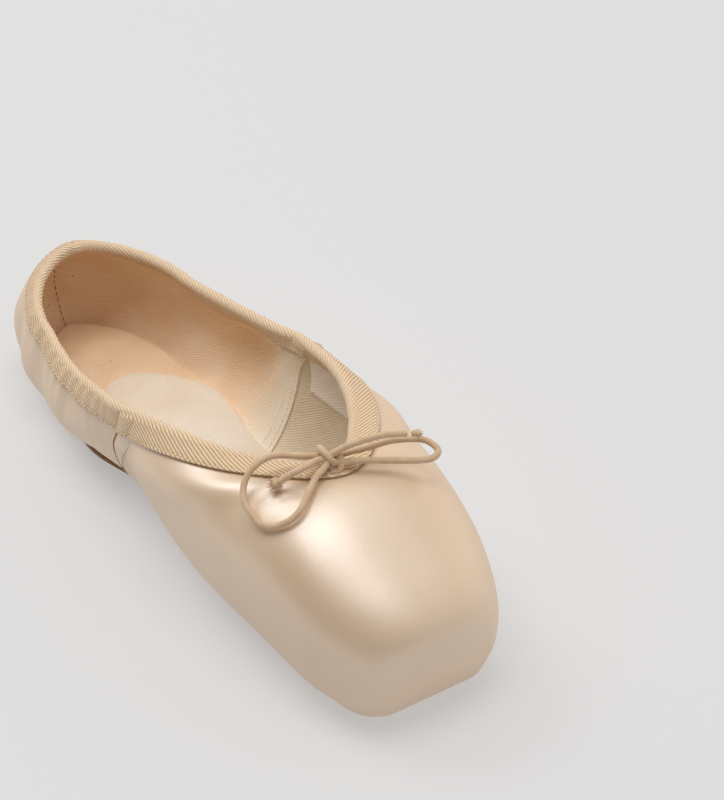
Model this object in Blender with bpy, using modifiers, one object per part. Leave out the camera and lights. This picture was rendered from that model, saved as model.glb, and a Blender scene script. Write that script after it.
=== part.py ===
"""Pointe shoe standing empty on its sole: upper, outsole, insole, sock, collar binding and drawstring bow.

The toe points along -Y, the heel along +Y and the floor is Z = 0. The shoe is straight-lasted, so all of it
apart from the bow is symmetric about X = 0. Lengths are in metres.

A place on the upper is given by its station and its level. The station is 0 at the back of the heel and 1 at
the toe. The level is 0 on the centre line underneath, 1 at the feather line where the flat bottom ends, 2 at
the widest line, and 3 at the collar's edge or, where the upper is closed on top, at its crown.
"""

import math

import bmesh
import bpy
import numpy as np
from mathutils import Vector
from mathutils.bvhtree import BVHTree

# Outer sizes of the upper
LENGTH = 0.235
HEEL_WIDTH = 0.0635
BALL_WIDTH = 0.0752
TOE_WIDTH = 0.050
HEEL_HEIGHT = 0.0437
INSTEP_HEIGHT = 0.0546
TOE_HEIGHT = 0.0352

# Stations where the upper's form changes
HEEL_FAN = 0.20
SIDE_SEAM = 0.463
THROAT = 0.759
TOE_ROUND = 0.945
SOLE_FRONT = 0.905
OPENING_FRONT = 0.87

# Form of the heel and of the box's platform
HEEL_PLAN = 1.75
SIDE_ROUNDNESS = 1.51
TOE_ROUNDING = 0.0060
PLATFORM_SQUASH = 0.50
PLATFORM_LEAN = 0.20
LEAN_START = 0.85

# Thicknesses, widths and clearances
SOLE_THICKNESS = 0.0022
SOLE_SKIVE = 0.0008
QUARTER_WALL = 0.0014
BOX_WALL = 0.0030
VAMP_LAP = 0.0005
LAP_RUN = 0.004
LAP_FADE = (1.0, 1.4)
WALL_RUN = (0.66, 0.91)
INSOLE_THICKNESS = 0.0018
INSOLE_SKIVE = 0.0004
SOCK_THICKNESS = 0.0010
SOCK_SKIVE = 0.0003
TAPE_THICKNESS = 0.0008
TAPE_WIDTH = 0.0074
TAPE_CLEARANCE = 0.0004
CLEARANCE = 0.0003

# Height of the waist above the flat heel and forefoot, and how far the pleated toe drops past the sole
WAIST_ARCH = 0.0035
ARCH_RISE = (0.22, 0.38)
ARCH_FALL = (0.48, 0.66)
TOE_DROP = 0.0010
DROP_RUN = (0.91, 0.95)

# Columns: station, half width, height of the widest line, height of the top, feather, roundness.
# The feather is a share of the half width. The roundness is the exponent of the section above the widest line.
SECTIONS = (
    (0.00, 0.500 * HEEL_WIDTH, 0.40 * HEEL_HEIGHT, 1.00 * HEEL_HEIGHT, 0.84, 2.25),
    (0.20, 0.500 * HEEL_WIDTH, 0.42 * HEEL_HEIGHT, 0.83 * HEEL_HEIGHT, 0.68, 2.25),
    (0.33, 0.490 * BALL_WIDTH, 0.54 * HEEL_HEIGHT, 0.88 * HEEL_HEIGHT, 0.63, 2.20),
    (0.45, 0.455 * BALL_WIDTH, 0.59 * INSTEP_HEIGHT, 0.82 * INSTEP_HEIGHT, 0.56, 2.30),
    (0.58, 0.493 * BALL_WIDTH, 0.61 * INSTEP_HEIGHT, 0.95 * INSTEP_HEIGHT, 0.61, 2.47),
    (0.70, 0.500 * BALL_WIDTH, 0.60 * INSTEP_HEIGHT, 1.00 * INSTEP_HEIGHT, 0.64, 2.62),
    (0.80, 0.465 * BALL_WIDTH, 0.52 * INSTEP_HEIGHT, 1.02 * INSTEP_HEIGHT, 0.67, 2.64),
    (0.90, 0.632 * TOE_WIDTH, 0.60 * TOE_HEIGHT, 1.33 * TOE_HEIGHT, 0.71, 2.74),
    (1.00, 0.471 * TOE_WIDTH, 0.39 * TOE_HEIGHT, 1.00 * TOE_HEIGHT, 0.72, 2.57),
)

# Columns: station, half width of the collar's opening as a share of the half width
COLLAR = (
    (0.00, 0.58),
    (0.20, 0.84),
    (0.33, 0.86),
    (0.45, 0.99),
)
THROAT_RISE = 1.28
THROAT_CURVE = 0.59

# Share of the flat bottom's width that stays open, with the rest as a margin under the insole
OPENING_SHARE = 0.66

# Columns: station, edge of the outsole as a share of the flat bottom's width
SOLE_EDGE = (
    (0.00, 0.95),
    (0.20, 1.00),
    (0.35, 1.08),
    (0.50, 0.95),
    (0.70, 0.92),
    (0.90, 0.90),
)
SOLE_NOSE = 0.78
INSOLE_FRONT = 0.93
INSOLE_NOSE = 0.84
SOCK_BACK = 0.205
SOCK_TAIL = 0.34
SOCK_MARGIN = 0.0015

# Rows of the upper's mesh: under the foot, up to the widest line, and above it
UNDER_ROWS = 2
LOWER_ROWS = 4
UPPER_ROWS = 8

# Steps of the meshes along the shoe, and the station where a flat piece starts beside the heel's middle
HEEL_STEPS = 12
QUARTER_STEPS = 9
VAMP_STEPS = 5
THROAT_STEPS = 8
THROAT_RUN = 0.12
TOE_STEPS = 4
PLATE_START = 0.01
NOSE_STEPS = 7
SOCK_STEPS = 11

# Drawstring and its bow, which lies over the front of the throat
CORD_DIAMETER = 0.0020
CORD_SPACING = 2.0
CORD_ROUNDING = 2
KNOT_SIZE = (0.0062, 0.0052, 0.0046)
KNOT_PLACE = (-0.0030, -0.0014, 0.0043)
TIP_DIAMETER = 0.0042
TIP_GAP = 0.0004

# Routes of the bow's cords in millimetres from the middle of the knot: X, Y and Z, out of the knot and back to
# it, or out to an end
MILLIMETRE = 0.001
LOOP_LEFT = (
    (-3.0, 2.3, 0.6),
    (-5.6, 3.1, 1.2),
    (-11.6, 5.7, 2.4),
    (-15.5, 7.0, 2.7),
    (-20.0, 7.3, 1.6),
    (-23.5, 7.1, -1.4),
    (-25.6, 5.6, -4.0),
    (-27.0, 2.3, -6.2),
    (-27.1, -2.3, -8.1),
    (-26.1, -6.0, -8.9),
    (-24.1, -8.6, -8.3),
    (-21.1, -10.6, -6.8),
    (-17.9, -10.9, -5.1),
    (-14.1, -9.2, -3.1),
    (-9.8, -5.9, -1.7),
    (-6.2, -3.6, -0.7),
    (-3.2, -2.3, -0.5),
)
LOOP_RIGHT = (
    (3.8, -0.8, 0.6),
    (7.0, -2.4, 1.4),
    (11.3, -4.1, 2.1),
    (14.9, -4.9, 2.5),
    (19.3, -5.5, 2.1),
    (23.5, -7.0, 1.7),
    (26.9, -9.1, 1.2),
    (28.5, -11.8, 0.3),
    (28.3, -14.0, -0.3),
    (26.2, -15.1, -0.8),
    (23.1, -14.6, -0.8),
    (19.2, -13.0, -0.4),
    (15.8, -11.1, -0.2),
    (12.3, -9.2, 0.1),
    (8.5, -7.3, 0.5),
    (5.2, -5.1, 0.3),
    (2.3, -3.1, -0.3),
)
TAIL_LEFT = (
    (-3.6, -0.3, 1.2),
    (-8.6, -1.5, 1.9),
    (-12.3, -1.2, 1.2),
    (-15.3, 0.4, -1.2),
)
TAIL_RIGHT = (
    (0.5, -1.1, 3.8),
    (4.4, -3.3, 5.3),
    (8.3, -4.9, 6.3),
    (13.9, -6.4, 6.7),
    (18.5, -7.3, 5.8),
    (21.7, -8.7, 5.5),
)


def smooth_curve(places, values):
    """Natural cubic spline through the values, as a function of the place."""
    x = np.array(places, float)
    y = np.array(values, float)
    gap = np.diff(x)
    rise = np.diff(y) / gap
    bend = np.zeros(len(x))
    links = np.diag(2 * (gap[:-1] + gap[1:])) + np.diag(gap[1:-1], 1) + np.diag(gap[1:-1], -1)
    bend[1:-1] = np.linalg.solve(links, 6 * np.diff(rise))

    def value(place):
        k = np.clip(np.searchsorted(x, place) - 1, 0, len(gap) - 1)
        before = place - x[k]
        after = x[k + 1] - place
        ends = (y[k] * after + y[k + 1] * before) / gap[k]
        lift = bend[k] * (after**3 / gap[k] - gap[k] * after)
        lift += bend[k + 1] * (before**3 / gap[k] - gap[k] * before)
        return ends + lift / 6

    return value


def ease(place, start, end):
    """0 before the start, 1 after the end and a smooth step between them."""
    share = np.clip((place - start) / (end - start), 0, 1)
    return share * share * (3 - 2 * share)


STATIONS = [row[0] for row in SECTIONS]
half_width_at, widest_at, top_at, feather_at, roundness_at = (
    smooth_curve(STATIONS, column) for column in list(zip(*SECTIONS))[1:]
)
collar_at = smooth_curve(*zip(*COLLAR))
sole_edge_at = smooth_curve(*zip(*SOLE_EDGE))


def underside(station):
    """Height of the upper's flat bottom, which is level over the heel and the forefoot."""
    arch = ease(station, *ARCH_RISE) * (1 - ease(station, *ARCH_FALL))
    return SOLE_THICKNESS + CLEARANCE + WAIST_ARCH * arch - TOE_DROP * ease(station, *DROP_RUN)


def collar_share(station):
    """Half width of the collar's opening as a share of the half width, 0 in front of the throat."""
    last = COLLAR[-1][0]
    along = np.clip((station - last) / (THROAT - last), 0, 1)
    front = COLLAR[-1][1] * (1 - along**THROAT_RISE) ** THROAT_CURVE
    return np.where(station < last, collar_at(np.minimum(station, last)), front)


def bare_skin(station, level):
    """Points of the upper's outer form, as an array with a last axis of X, Y and Z."""
    station, level = np.broadcast_arrays(np.asarray(station, float), np.asarray(level, float))
    toe_turn = np.clip((station - TOE_ROUND) / (1 - TOE_ROUND), 0, 1) * math.pi / 2
    flat = np.minimum(station, TOE_ROUND) + (1 - TOE_ROUND) * np.sin(toe_turn)
    body = np.maximum(flat, HEEL_FAN)
    half = half_width_at(body)
    widest = widest_at(body)
    roundness = roundness_at(body)
    low = underside(flat)
    top = top_at(flat)
    feather = feather_at(flat)
    collar = collar_share(flat)

    lower_turn = np.clip(2 - level, 0, 1) * math.pi / 2
    lower_out = feather + (1 - feather) * np.cos(lower_turn) ** (2 / SIDE_ROUNDNESS)
    lower_up = widest - (widest - low) * np.sin(lower_turn) ** (2 / SIDE_ROUNDNESS)
    crown = widest + (top - widest) / (1 - collar**roundness) ** (1 / roundness)
    upper_turn = np.clip(level - 2, 0, 1) * np.arccos(collar ** (roundness / 2))
    upper_out = np.abs(np.cos(upper_turn)) ** (2 / roundness)
    upper_up = widest + (crown - widest) * np.sin(upper_turn) ** (2 / roundness)
    out = np.where(level < 1, feather * level, np.where(level < 2, lower_out, upper_out))
    up = np.where(level < 1, low, np.where(level < 2, lower_up, upper_up))
    on_crown = (level == 3) & (collar == 0)
    out = np.where(on_crown, 0, out)

    fan_turn = np.clip(station / HEEL_FAN, 0, 1) * math.pi / 2
    across = half * np.sin(fan_turn) ** (2 / HEEL_PLAN)
    back = HEEL_FAN * LENGTH * np.abs(np.cos(fan_turn)) ** (2 / HEEL_PLAN)
    from_heel = np.where(station < HEEL_FAN, HEEL_FAN * LENGTH - out * back, flat * LENGTH)

    inset = TOE_ROUNDING * (1 - np.cos(toe_turn))
    middle = (top + low) / 2
    squash = 1 - inset * PLATFORM_SQUASH / (top - middle)
    x = out * across * (1 - inset / half)
    z = middle + (up - middle) * squash
    lean = PLATFORM_LEAN * ease(station, LEAN_START, 1)
    from_heel = from_heel + lean * (z - top)
    return np.stack([x, LENGTH / 2 - from_heel, z], -1)


def outward(station, level):
    """Unit normals of the bare skin, from its slopes along the shoe and across it."""
    step = 1e-4
    forward = bare_skin(np.minimum(station + step, 1), level) - bare_skin(np.maximum(station - step, 0), level)
    upward = bare_skin(station, np.minimum(level + step, 3)) - bare_skin(station, np.maximum(level - step, 0))
    normal = np.cross(upward, forward)
    return normal / np.linalg.norm(normal, axis=-1, keepdims=True)


def wall(station):
    """Thickness of the upper, which is stiffened towards the box."""
    return QUARTER_WALL + (BOX_WALL - QUARTER_WALL) * ease(station, *WALL_RUN)


def lap(station, level):
    """Step of the vamp over the quarters at the side seam, which fades out above the sole."""
    return VAMP_LAP * ease(station, SIDE_SEAM, SIDE_SEAM + LAP_RUN) * ease(level, *LAP_FADE)


def skin(station, level, rise):
    """Points at a height above the bare skin, kept on the centre plane where the skin lies on it."""
    bare = bare_skin(station, level)
    points = bare + outward(station, level) * np.asarray(rise)[..., None]
    points[..., 0] = np.where(np.abs(bare[..., 0]) < 1e-9, 0, points[..., 0])
    return points


def opening_level(station):
    """Level of the edge of the opening underneath, which closes in a round front."""
    along = np.clip((station - SOLE_NOSE) / (OPENING_FRONT - SOLE_NOSE), 0, 1)
    return OPENING_SHARE * np.sqrt(1 - along**2)


def mesh_object(name, points, faces, material):
    """Object with a mesh of the given points and faces, shaded smooth up to its sharp edges."""
    mesh = bpy.data.meshes.new(name)
    mesh.from_pydata([Vector(point) for point in points], [], faces)
    mesh.materials.append(material)
    mesh.shade_smooth()
    mesh.set_sharp_from_angle(angle=math.radians(40))
    thing = bpy.data.objects.new(name, mesh)
    shoe.objects.link(thing)
    return thing


def mirrored(thing):
    """Completes a half that is open at X = 0."""
    mirror = thing.modifiers.new("other_half", "MIRROR")
    mirror.use_clip = True
    mirror.merge_threshold = 0.00002


def finish(name, colour, roughness):
    """Material of one piece."""
    material = bpy.data.materials.new(name)
    material.use_nodes = True
    shader = material.node_tree.nodes["Principled BSDF"]
    shader.inputs["Base Color"].default_value = (*colour, 1)
    shader.inputs["Roughness"].default_value = roughness
    return material


def grid_faces(first, rows, columns, flip=False):
    """Four-sided faces of a grid whose points start at index first and run along its columns first."""
    faces = []
    for i in range(rows - 1):
        for j in range(columns - 1):
            a = first + i * columns + j
            face = (a, a + 1, a + columns + 1, a + columns)
            faces.append(face[::-1] if flip else face)
    return faces


def tube_faces(rings, size):
    """Four-sided faces between closed rings of the same number of points."""
    faces = []
    for i in range(rings - 1):
        for j in range(size):
            a = i * size + j
            b = i * size + (j + 1) % size
            faces.append((a, b, b + size, a + size))
    return faces


def collar_stations():
    """Stations along the collar, from the back of the heel to the front of the throat."""
    side_front = THROAT - THROAT_RUN
    closing = np.sin(np.linspace(0, math.pi / 2, THROAT_STEPS + 1))
    parts = [
        np.linspace(0, HEEL_FAN, HEEL_STEPS + 1),
        np.linspace(HEEL_FAN, SIDE_SEAM, QUARTER_STEPS + 1),
        np.linspace(SIDE_SEAM + LAP_RUN, side_front, VAMP_STEPS + 1),
        side_front + THROAT_RUN * closing,
    ]
    return np.unique(np.round(np.concatenate(parts), 6))


def upper_stations():
    """Stations of the upper's sections, closer together where an opening closes and where the box rounds."""
    closing = np.sin(np.linspace(0, math.pi / 2, VAMP_STEPS + 1))
    parts = [
        collar_stations(),
        SOLE_NOSE + (OPENING_FRONT - SOLE_NOSE) * closing,
        np.linspace(OPENING_FRONT, TOE_ROUND, TOE_STEPS + 1),
        np.linspace(TOE_ROUND, 1, TOE_STEPS + 1),
    ]
    return np.unique(np.round(np.concatenate(parts), 6))


def upper_levels(station):
    """Levels of the upper's rows at one station, from the opening underneath to the collar or crown."""
    start = opening_level(station)
    under = np.linspace(start, 1, UNDER_ROWS, endpoint=False)
    lower = np.linspace(1, 2, LOWER_ROWS, endpoint=False)
    upper = np.linspace(2, 3, UPPER_ROWS + 1)
    return np.concatenate([under, lower, upper])


def make_upper(material):
    """Hollow upper: an outer and an inner skin joined at both openings and closed by the platform."""
    stations = upper_stations()
    levels = np.stack([upper_levels(station) for station in stations])
    rows, columns = levels.shape
    along = np.repeat(stations[:, None], columns, axis=1)
    outer = skin(along, levels, lap(along, levels))
    inner = skin(along, levels, -wall(along))
    count = rows * columns
    faces = grid_faces(0, rows, columns) + grid_faces(count, rows, columns, flip=True)
    for i in range(rows - 1):
        a = i * columns
        b = a + columns
        if stations[i] < OPENING_FRONT:
            faces.append((a, b, count + b, count + a))
        if stations[i] < THROAT:
            a += columns - 1
            b += columns - 1
            faces.append((a, count + a, count + b, b))
    last = (rows - 1) * columns
    rim = list(range(last, last + columns))
    faces.append(rim)
    faces.append([count + k for k in reversed(rim)])
    points = np.concatenate([outer.reshape(-1, 3), inner.reshape(-1, 3)])
    mirrored(mesh_object("upper", points, faces, material))


def make_plate(name, outline, bottom, thickness, skive, material):
    """Flat piece between mirrored outlines that follows a height along the shoe, with a skived lower edge."""
    points = []
    for x, y in outline:
        inner = max(x - skive, x / 4)
        side = [(inner, 0), (x, skive), (x, thickness)]
        section = side + [(-out, up) for out, up in reversed(side)]
        points += [(out, y, bottom(y) + up) for out, up in section]
    size = len(section)
    faces = tube_faces(len(outline), size)
    last = (len(outline) - 1) * size
    faces.append(list(reversed(range(size))))
    faces.append(list(range(last, last + size)))
    return mesh_object(name, points, faces, material)


def plan_line(stations, level):
    """Outline points (x, y) on the flat bottom at a level for each station."""
    points = bare_skin(stations, level(stations))
    return [(x, y) for x, y, z in points]


def station_of(y):
    """Station of a place along the shoe, away from the heel's fan."""
    return 0.5 - y / LENGTH


def nose(station, start, front):
    """Share of the width left where a flat piece closes in a round front."""
    along = np.clip((station - start) / (front - start), 0, 1)
    return np.sqrt(np.maximum(1 - along**2, 0))


def plate_stations(front, start):
    """Stations of a flat piece's outline, from just beside the heel's middle to its round front."""
    closing = start + (front - start) * np.sin(np.linspace(0, math.pi / 2, NOSE_STEPS + 1))[:-1]
    fan = np.linspace(0, HEEL_FAN, HEEL_STEPS + 1)[1:]
    body = upper_stations()
    body = body[(body > HEEL_FAN) & (body < start)]
    return np.unique(np.round(np.concatenate([[PLATE_START], fan, body, closing]), 6))


def make_outsole(material):
    """Leather outsole, which ends behind the pleats of the toe."""
    stations = plate_stations(SOLE_FRONT, SOLE_NOSE)
    outline = plan_line(stations, lambda s: sole_edge_at(s) * nose(s, SOLE_NOSE, SOLE_FRONT))
    bottom = lambda y: underside(station_of(y)) - CLEARANCE - SOLE_THICKNESS
    make_plate("outsole", outline, bottom, SOLE_THICKNESS, SOLE_SKIVE, material)


def inside_level(station):
    """Level at which a flat piece inside the shoe clears the wall beside it."""
    body = np.clip(station, HEEL_FAN, TOE_ROUND)
    width = feather_at(station) * half_width_at(body)
    return 1 - (wall(station) + CLEARANCE) / width


def margin_top(y):
    """Height of the top of the upper's turned-in margin."""
    station = station_of(y)
    return underside(station) + wall(station)


def make_insole(material):
    """Insole board, on the upper's turned-in margin."""
    stations = plate_stations(INSOLE_FRONT, INSOLE_NOSE)
    outline = plan_line(stations, lambda s: inside_level(s) * nose(s, INSOLE_NOSE, INSOLE_FRONT))
    make_plate("insole", outline, lambda y: margin_top(y) + CLEARANCE, INSOLE_THICKNESS, INSOLE_SKIVE, material)


def make_sock(material):
    """Textile sock on the insole, with a round rear end in front of the heel."""
    closing = np.sin(np.linspace(0, math.pi / 2, NOSE_STEPS + 1))[:-1]
    tail = SOCK_TAIL - (SOCK_TAIL - SOCK_BACK) * closing
    body = np.linspace(SOCK_TAIL, INSOLE_NOSE, SOCK_STEPS + 1)
    front = INSOLE_NOSE + (INSOLE_FRONT - INSOLE_NOSE) * closing
    stations = np.unique(np.round(np.concatenate([tail, body, front]), 6))

    def level(station):
        width = feather_at(station) * half_width_at(station)
        ends = nose(station, SOCK_TAIL, SOCK_BACK) * nose(station, INSOLE_NOSE, INSOLE_FRONT)
        return (inside_level(station) - SOCK_MARGIN / width) * ends

    bottom = lambda y: margin_top(y) + INSOLE_THICKNESS + 2 * CLEARANCE
    make_plate("sock", plan_line(stations, level), bottom, SOCK_THICKNESS, SOCK_SKIVE, material)


def collar_frames():
    """Edge points of the collar from heel to throat, with the direction down the skin at each of them."""
    stations = collar_stations()
    top = np.full(len(stations), 3.0)
    edge = skin(stations, top, lap(stations, top))
    ahead = np.gradient(edge, axis=0)
    ahead[0] = (1, 0, 0)
    ahead[-1] = (-1, 0, 0)
    normal = outward(stations, top)
    down = np.cross(normal, ahead)
    down /= np.linalg.norm(down, axis=1, keepdims=True)
    return stations, edge, normal, down


def skin_tree():
    """Search tree of the upper's outer skin near the collar."""
    stations = np.concatenate([np.linspace(0, HEEL_FAN, 30)[:-1], np.linspace(HEEL_FAN, 0.9, 160)])
    levels = np.linspace(1.5, 3, 80)
    along = np.repeat(stations[:, None], len(levels), axis=1)
    across = np.broadcast_to(levels, along.shape)
    points = skin(along, across, lap(along, across))
    return BVHTree.FromPolygons(
        [Vector(point) for point in points.reshape(-1, 3)], grid_faces(0, len(stations), len(levels))
    )


def full_wall(place):
    """Thickness of the upper with its lap, near the collar at a place."""
    station = station_of(place[1])
    return float(wall(station) + lap(station, 3))


def make_binding(material):
    """Tape folded over the collar's edge, with a leg on each side of the upper's wall."""
    tree = skin_tree()
    stations, edge, normal, down = collar_frames()
    columns = []
    for k in range(len(stations)):
        thickness = full_wall(edge[k])
        middle = edge[k] - normal[k] * thickness / 2
        legs = []
        for distance in (TAPE_WIDTH, TAPE_WIDTH * 2 / 3, TAPE_WIDTH / 3, 0):
            if distance == 0:
                place, facing = Vector(edge[k]), Vector(normal[k])
            else:
                place, facing, _, _ = tree.find_nearest(Vector(edge[k] + down[k] * distance))
            legs.append((np.array(place), np.array(facing), full_wall(place)))
        outside = TAPE_CLEARANCE + TAPE_THICKNESS
        loop = [place + facing * outside for place, facing, depth in legs]
        for degrees in (45, 90, 135):
            turn = math.radians(degrees)
            reach = thickness / 2 + outside
            loop.append(middle + reach * (normal[k] * math.cos(turn) - down[k] * math.sin(turn)))
        loop += [place - facing * (depth + outside) for place, facing, depth in reversed(legs)]
        loop += [place - facing * (depth + TAPE_CLEARANCE) for place, facing, depth in legs]
        loop.append(middle - down[k] * (thickness / 2 + TAPE_CLEARANCE))
        loop += [place + facing * TAPE_CLEARANCE for place, facing, depth in reversed(legs)]
        columns.append(loop)
    points = np.array(columns)
    points[0, :, 0] = 0
    points[-1, :, 0] = 0
    faces = tube_faces(*points.shape[:2])
    mirrored(mesh_object("binding", points.reshape(-1, 3), faces, material))


def knot_place():
    """Middle of the bow's knot, which sits on the binding at the front of the throat."""
    return skin(THROAT, 3, 0.0) + KNOT_PLACE


def cord_path(route):
    """Evenly spaced points of a smooth line through a route, in metres."""
    places = knot_place() + np.array(route) * MILLIMETRE
    steps = np.linalg.norm(np.diff(places, axis=0), axis=1)
    along = np.concatenate([[0], np.cumsum(steps)])
    count = max(4, round(along[-1] / (CORD_SPACING * CORD_DIAMETER)) + 1)
    samples = np.linspace(0, along[-1], count)
    return np.stack([smooth_curve(along, column)(samples) for column in places.T], axis=1)


def make_cord(name, route, material):
    """Round elastic cord along a route."""
    path = cord_path(route)
    curve = bpy.data.curves.new(name, "CURVE")
    curve.dimensions = "3D"
    curve.bevel_depth = CORD_DIAMETER / 2
    curve.bevel_resolution = CORD_ROUNDING
    curve.use_fill_caps = True
    spline = curve.splines.new("POLY")
    spline.points.add(len(path) - 1)
    for point, place in zip(spline.points, path):
        point.co = (*place, 1)
    curve.materials.append(material)
    thing = bpy.data.objects.new(name, curve)
    shoe.objects.link(thing)
    return path


def make_ball(name, place, size, material):
    """Round knot of the given size along X, Y and Z."""
    mesh = bpy.data.meshes.new(name)
    shape = bmesh.new()
    bmesh.ops.create_uvsphere(shape, u_segments=12, v_segments=8, radius=0.5)
    bmesh.ops.scale(shape, vec=size, verts=shape.verts)
    shape.to_mesh(mesh)
    shape.free()
    mesh.materials.append(material)
    mesh.shade_smooth()
    ball = bpy.data.objects.new(name, mesh)
    ball.location = place
    shoe.objects.link(ball)


def make_tip(name, path, material):
    """Knotted end just past the last point of a tail."""
    direction = path[-1] - path[-2]
    direction /= np.linalg.norm(direction)
    place = path[-1] + direction * (TIP_DIAMETER / 2 + TIP_GAP)
    make_ball(name, place, (TIP_DIAMETER,) * 3, material)


def make_bow(material):
    """Bow of the drawstring: a knot, two loops and two tails with knotted ends."""
    make_ball("bow_knot", knot_place(), KNOT_SIZE, material)
    make_cord("loop_left", LOOP_LEFT, material)
    make_cord("loop_right", LOOP_RIGHT, material)
    make_tip("tip_left", make_cord("tail_left", TAIL_LEFT, material), material)
    make_tip("tip_right", make_cord("tail_right", TAIL_RIGHT, material), material)


def build():
    """All pieces of the shoe."""
    satin = finish("satin", (0.80, 0.62, 0.46), 0.4)
    leather = finish("sole_leather", (0.36, 0.20, 0.10), 0.6)
    board = finish("insole_cotton", (0.62, 0.42, 0.27), 0.8)
    cotton = finish("sock_cotton", (0.78, 0.66, 0.52), 0.85)
    twill = finish("binding_twill", (0.74, 0.56, 0.38), 0.7)
    elastic = finish("bow_elastic", (0.66, 0.50, 0.34), 0.6)
    make_upper(satin)
    make_outsole(leather)
    make_insole(board)
    make_sock(cotton)
    make_binding(twill)
    make_bow(elastic)


for old in list(bpy.data.objects):
    bpy.data.objects.remove(old)
shoe = bpy.data.collections.new("pointe_shoe")
bpy.context.scene.collection.children.link(shoe)
build()
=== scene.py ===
"""Pointe shoe standing empty on its sole, with its satin, linings, tape, stitches and drawstring bow.

Lengths are in metres, +Z is up and the toe points to -Y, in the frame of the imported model. A place on the
upper is a station, 0 at the back of the heel and 1 at the toe, and a turn of the section there.
"""

import math

import bmesh
import bpy
import numpy as np
from mathutils import Matrix, Vector
from mathutils.bvhtree import BVHTree


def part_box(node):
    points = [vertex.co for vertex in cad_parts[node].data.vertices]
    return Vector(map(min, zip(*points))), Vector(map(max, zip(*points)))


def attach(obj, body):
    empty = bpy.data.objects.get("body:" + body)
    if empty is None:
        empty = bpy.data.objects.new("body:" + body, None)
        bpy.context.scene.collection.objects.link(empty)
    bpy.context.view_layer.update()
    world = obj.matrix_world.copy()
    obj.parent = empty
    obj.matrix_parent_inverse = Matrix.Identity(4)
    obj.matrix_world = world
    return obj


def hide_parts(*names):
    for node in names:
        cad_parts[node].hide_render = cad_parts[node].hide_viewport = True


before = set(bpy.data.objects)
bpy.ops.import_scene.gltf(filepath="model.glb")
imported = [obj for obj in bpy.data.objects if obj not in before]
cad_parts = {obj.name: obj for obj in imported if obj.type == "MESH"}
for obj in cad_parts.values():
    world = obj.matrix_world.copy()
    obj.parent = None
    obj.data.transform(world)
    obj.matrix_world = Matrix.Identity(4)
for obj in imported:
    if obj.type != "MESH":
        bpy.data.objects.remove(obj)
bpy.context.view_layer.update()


# Camera
# The shoe is seen from above and from the left of its toe, through a long lens.
VIEW_AZIMUTH = math.radians(-34.03)
VIEW_ELEVATION = math.radians(36.87)
VIEW_ROLL = math.radians(0.63)
VIEW_DISTANCE = 0.800
VIEW_TARGET = np.array([0.05040, 0.00043, 0.020])
FOCAL_PIXELS = 2477.4
FRAME_HEIGHT = 800
SENSOR_SIZE = 36.0


def make_camera():
    """Camera at the photo's angle to the shoe."""
    flat = math.cos(VIEW_ELEVATION)
    back = np.array([
        math.sin(VIEW_AZIMUTH) * flat,
        -math.cos(VIEW_AZIMUTH) * flat,
        math.sin(VIEW_ELEVATION),
    ])
    right = np.array([math.cos(VIEW_AZIMUTH), math.sin(VIEW_AZIMUTH), 0.0])
    up = np.cross(back, right)
    rolled_right = math.cos(VIEW_ROLL) * right + math.sin(VIEW_ROLL) * up
    rolled_up = math.cos(VIEW_ROLL) * up - math.sin(VIEW_ROLL) * right
    data = bpy.data.cameras.new("camera")
    data.sensor_width = SENSOR_SIZE
    data.lens = FOCAL_PIXELS / FRAME_HEIGHT * SENSOR_SIZE
    data.clip_start = 0.05
    camera = bpy.data.objects.new("camera", data)
    turn = Matrix(np.stack([rolled_right, rolled_up, back], axis=1).tolist()).to_4x4()
    camera.matrix_world = Matrix.Translation(Vector(VIEW_TARGET + VIEW_DISTANCE * back)) @ turn
    bpy.context.scene.collection.objects.link(camera)
    bpy.context.scene.camera = camera


make_camera()


# Drawstring bow
# A round elastic cord, 2 mm thick, braided from cream thread over rubber. Two strands come up through a
# stitched slot in the tape, are tied in a bow, and end in small knots with frayed threads.
CORD_DIAMETER = 0.0020
CORD_SIDES = 16
STRAND_STEP = 0.0004
MILLIMETRE = 0.001
KNOT_MIDDLE = (np.array(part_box("bow_knot")[0]) + np.array(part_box("bow_knot")[1])) / 2

# Routes in millimetres from the middle of the knot: X, Y and Z
LEFT_SLOT = (
    (0.2, -2.9, -3.0),
    (-0.4, -1.6, -1.9),
    (-1.4, 0.5, -0.6),
)
LOOP_LEFT = (
    (-3.0, 2.3, 0.6),
    (-5.6, 3.1, 1.2),
    (-11.6, 5.7, 2.4),
    (-15.5, 7.0, 2.7),
    (-20.0, 7.3, 1.6),
    (-23.5, 7.1, -1.4),
    (-25.6, 5.6, -4.0),
    (-27.0, 2.3, -6.2),
    (-27.1, -2.3, -8.1),
    (-26.1, -6.0, -8.9),
    (-24.1, -8.6, -8.3),
    (-21.1, -10.6, -6.8),
    (-17.9, -10.9, -5.1),
    (-14.1, -9.2, -3.1),
    (-9.8, -5.9, -1.7),
    (-6.2, -3.6, -0.7),
    (-3.2, -2.3, -0.5),
)
LEFT_CROSSING = (
    (-1.5, -1.5, 0.6),
    (-0.5, -1.0, 1.5),
)
TAIL_RIGHT = (
    (1.2, -1.6, 2.9),
    (4.4, -3.3, 5.0),
    (8.3, -4.9, 6.2),
    (13.9, -6.4, 6.7),
    (18.5, -7.3, 5.8),
    (21.0, -8.3, 5.5),
)
RIGHT_SLOT = (
    (0.7, -3.5, -3.0),
    (1.7, -3.5, -1.3),
    (2.2, -2.9, 0.5),
    (1.9, -1.4, 1.5),
    (1.4, 0.4, 0.9),
    (2.0, 0.5, 0.3),
)
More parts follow.
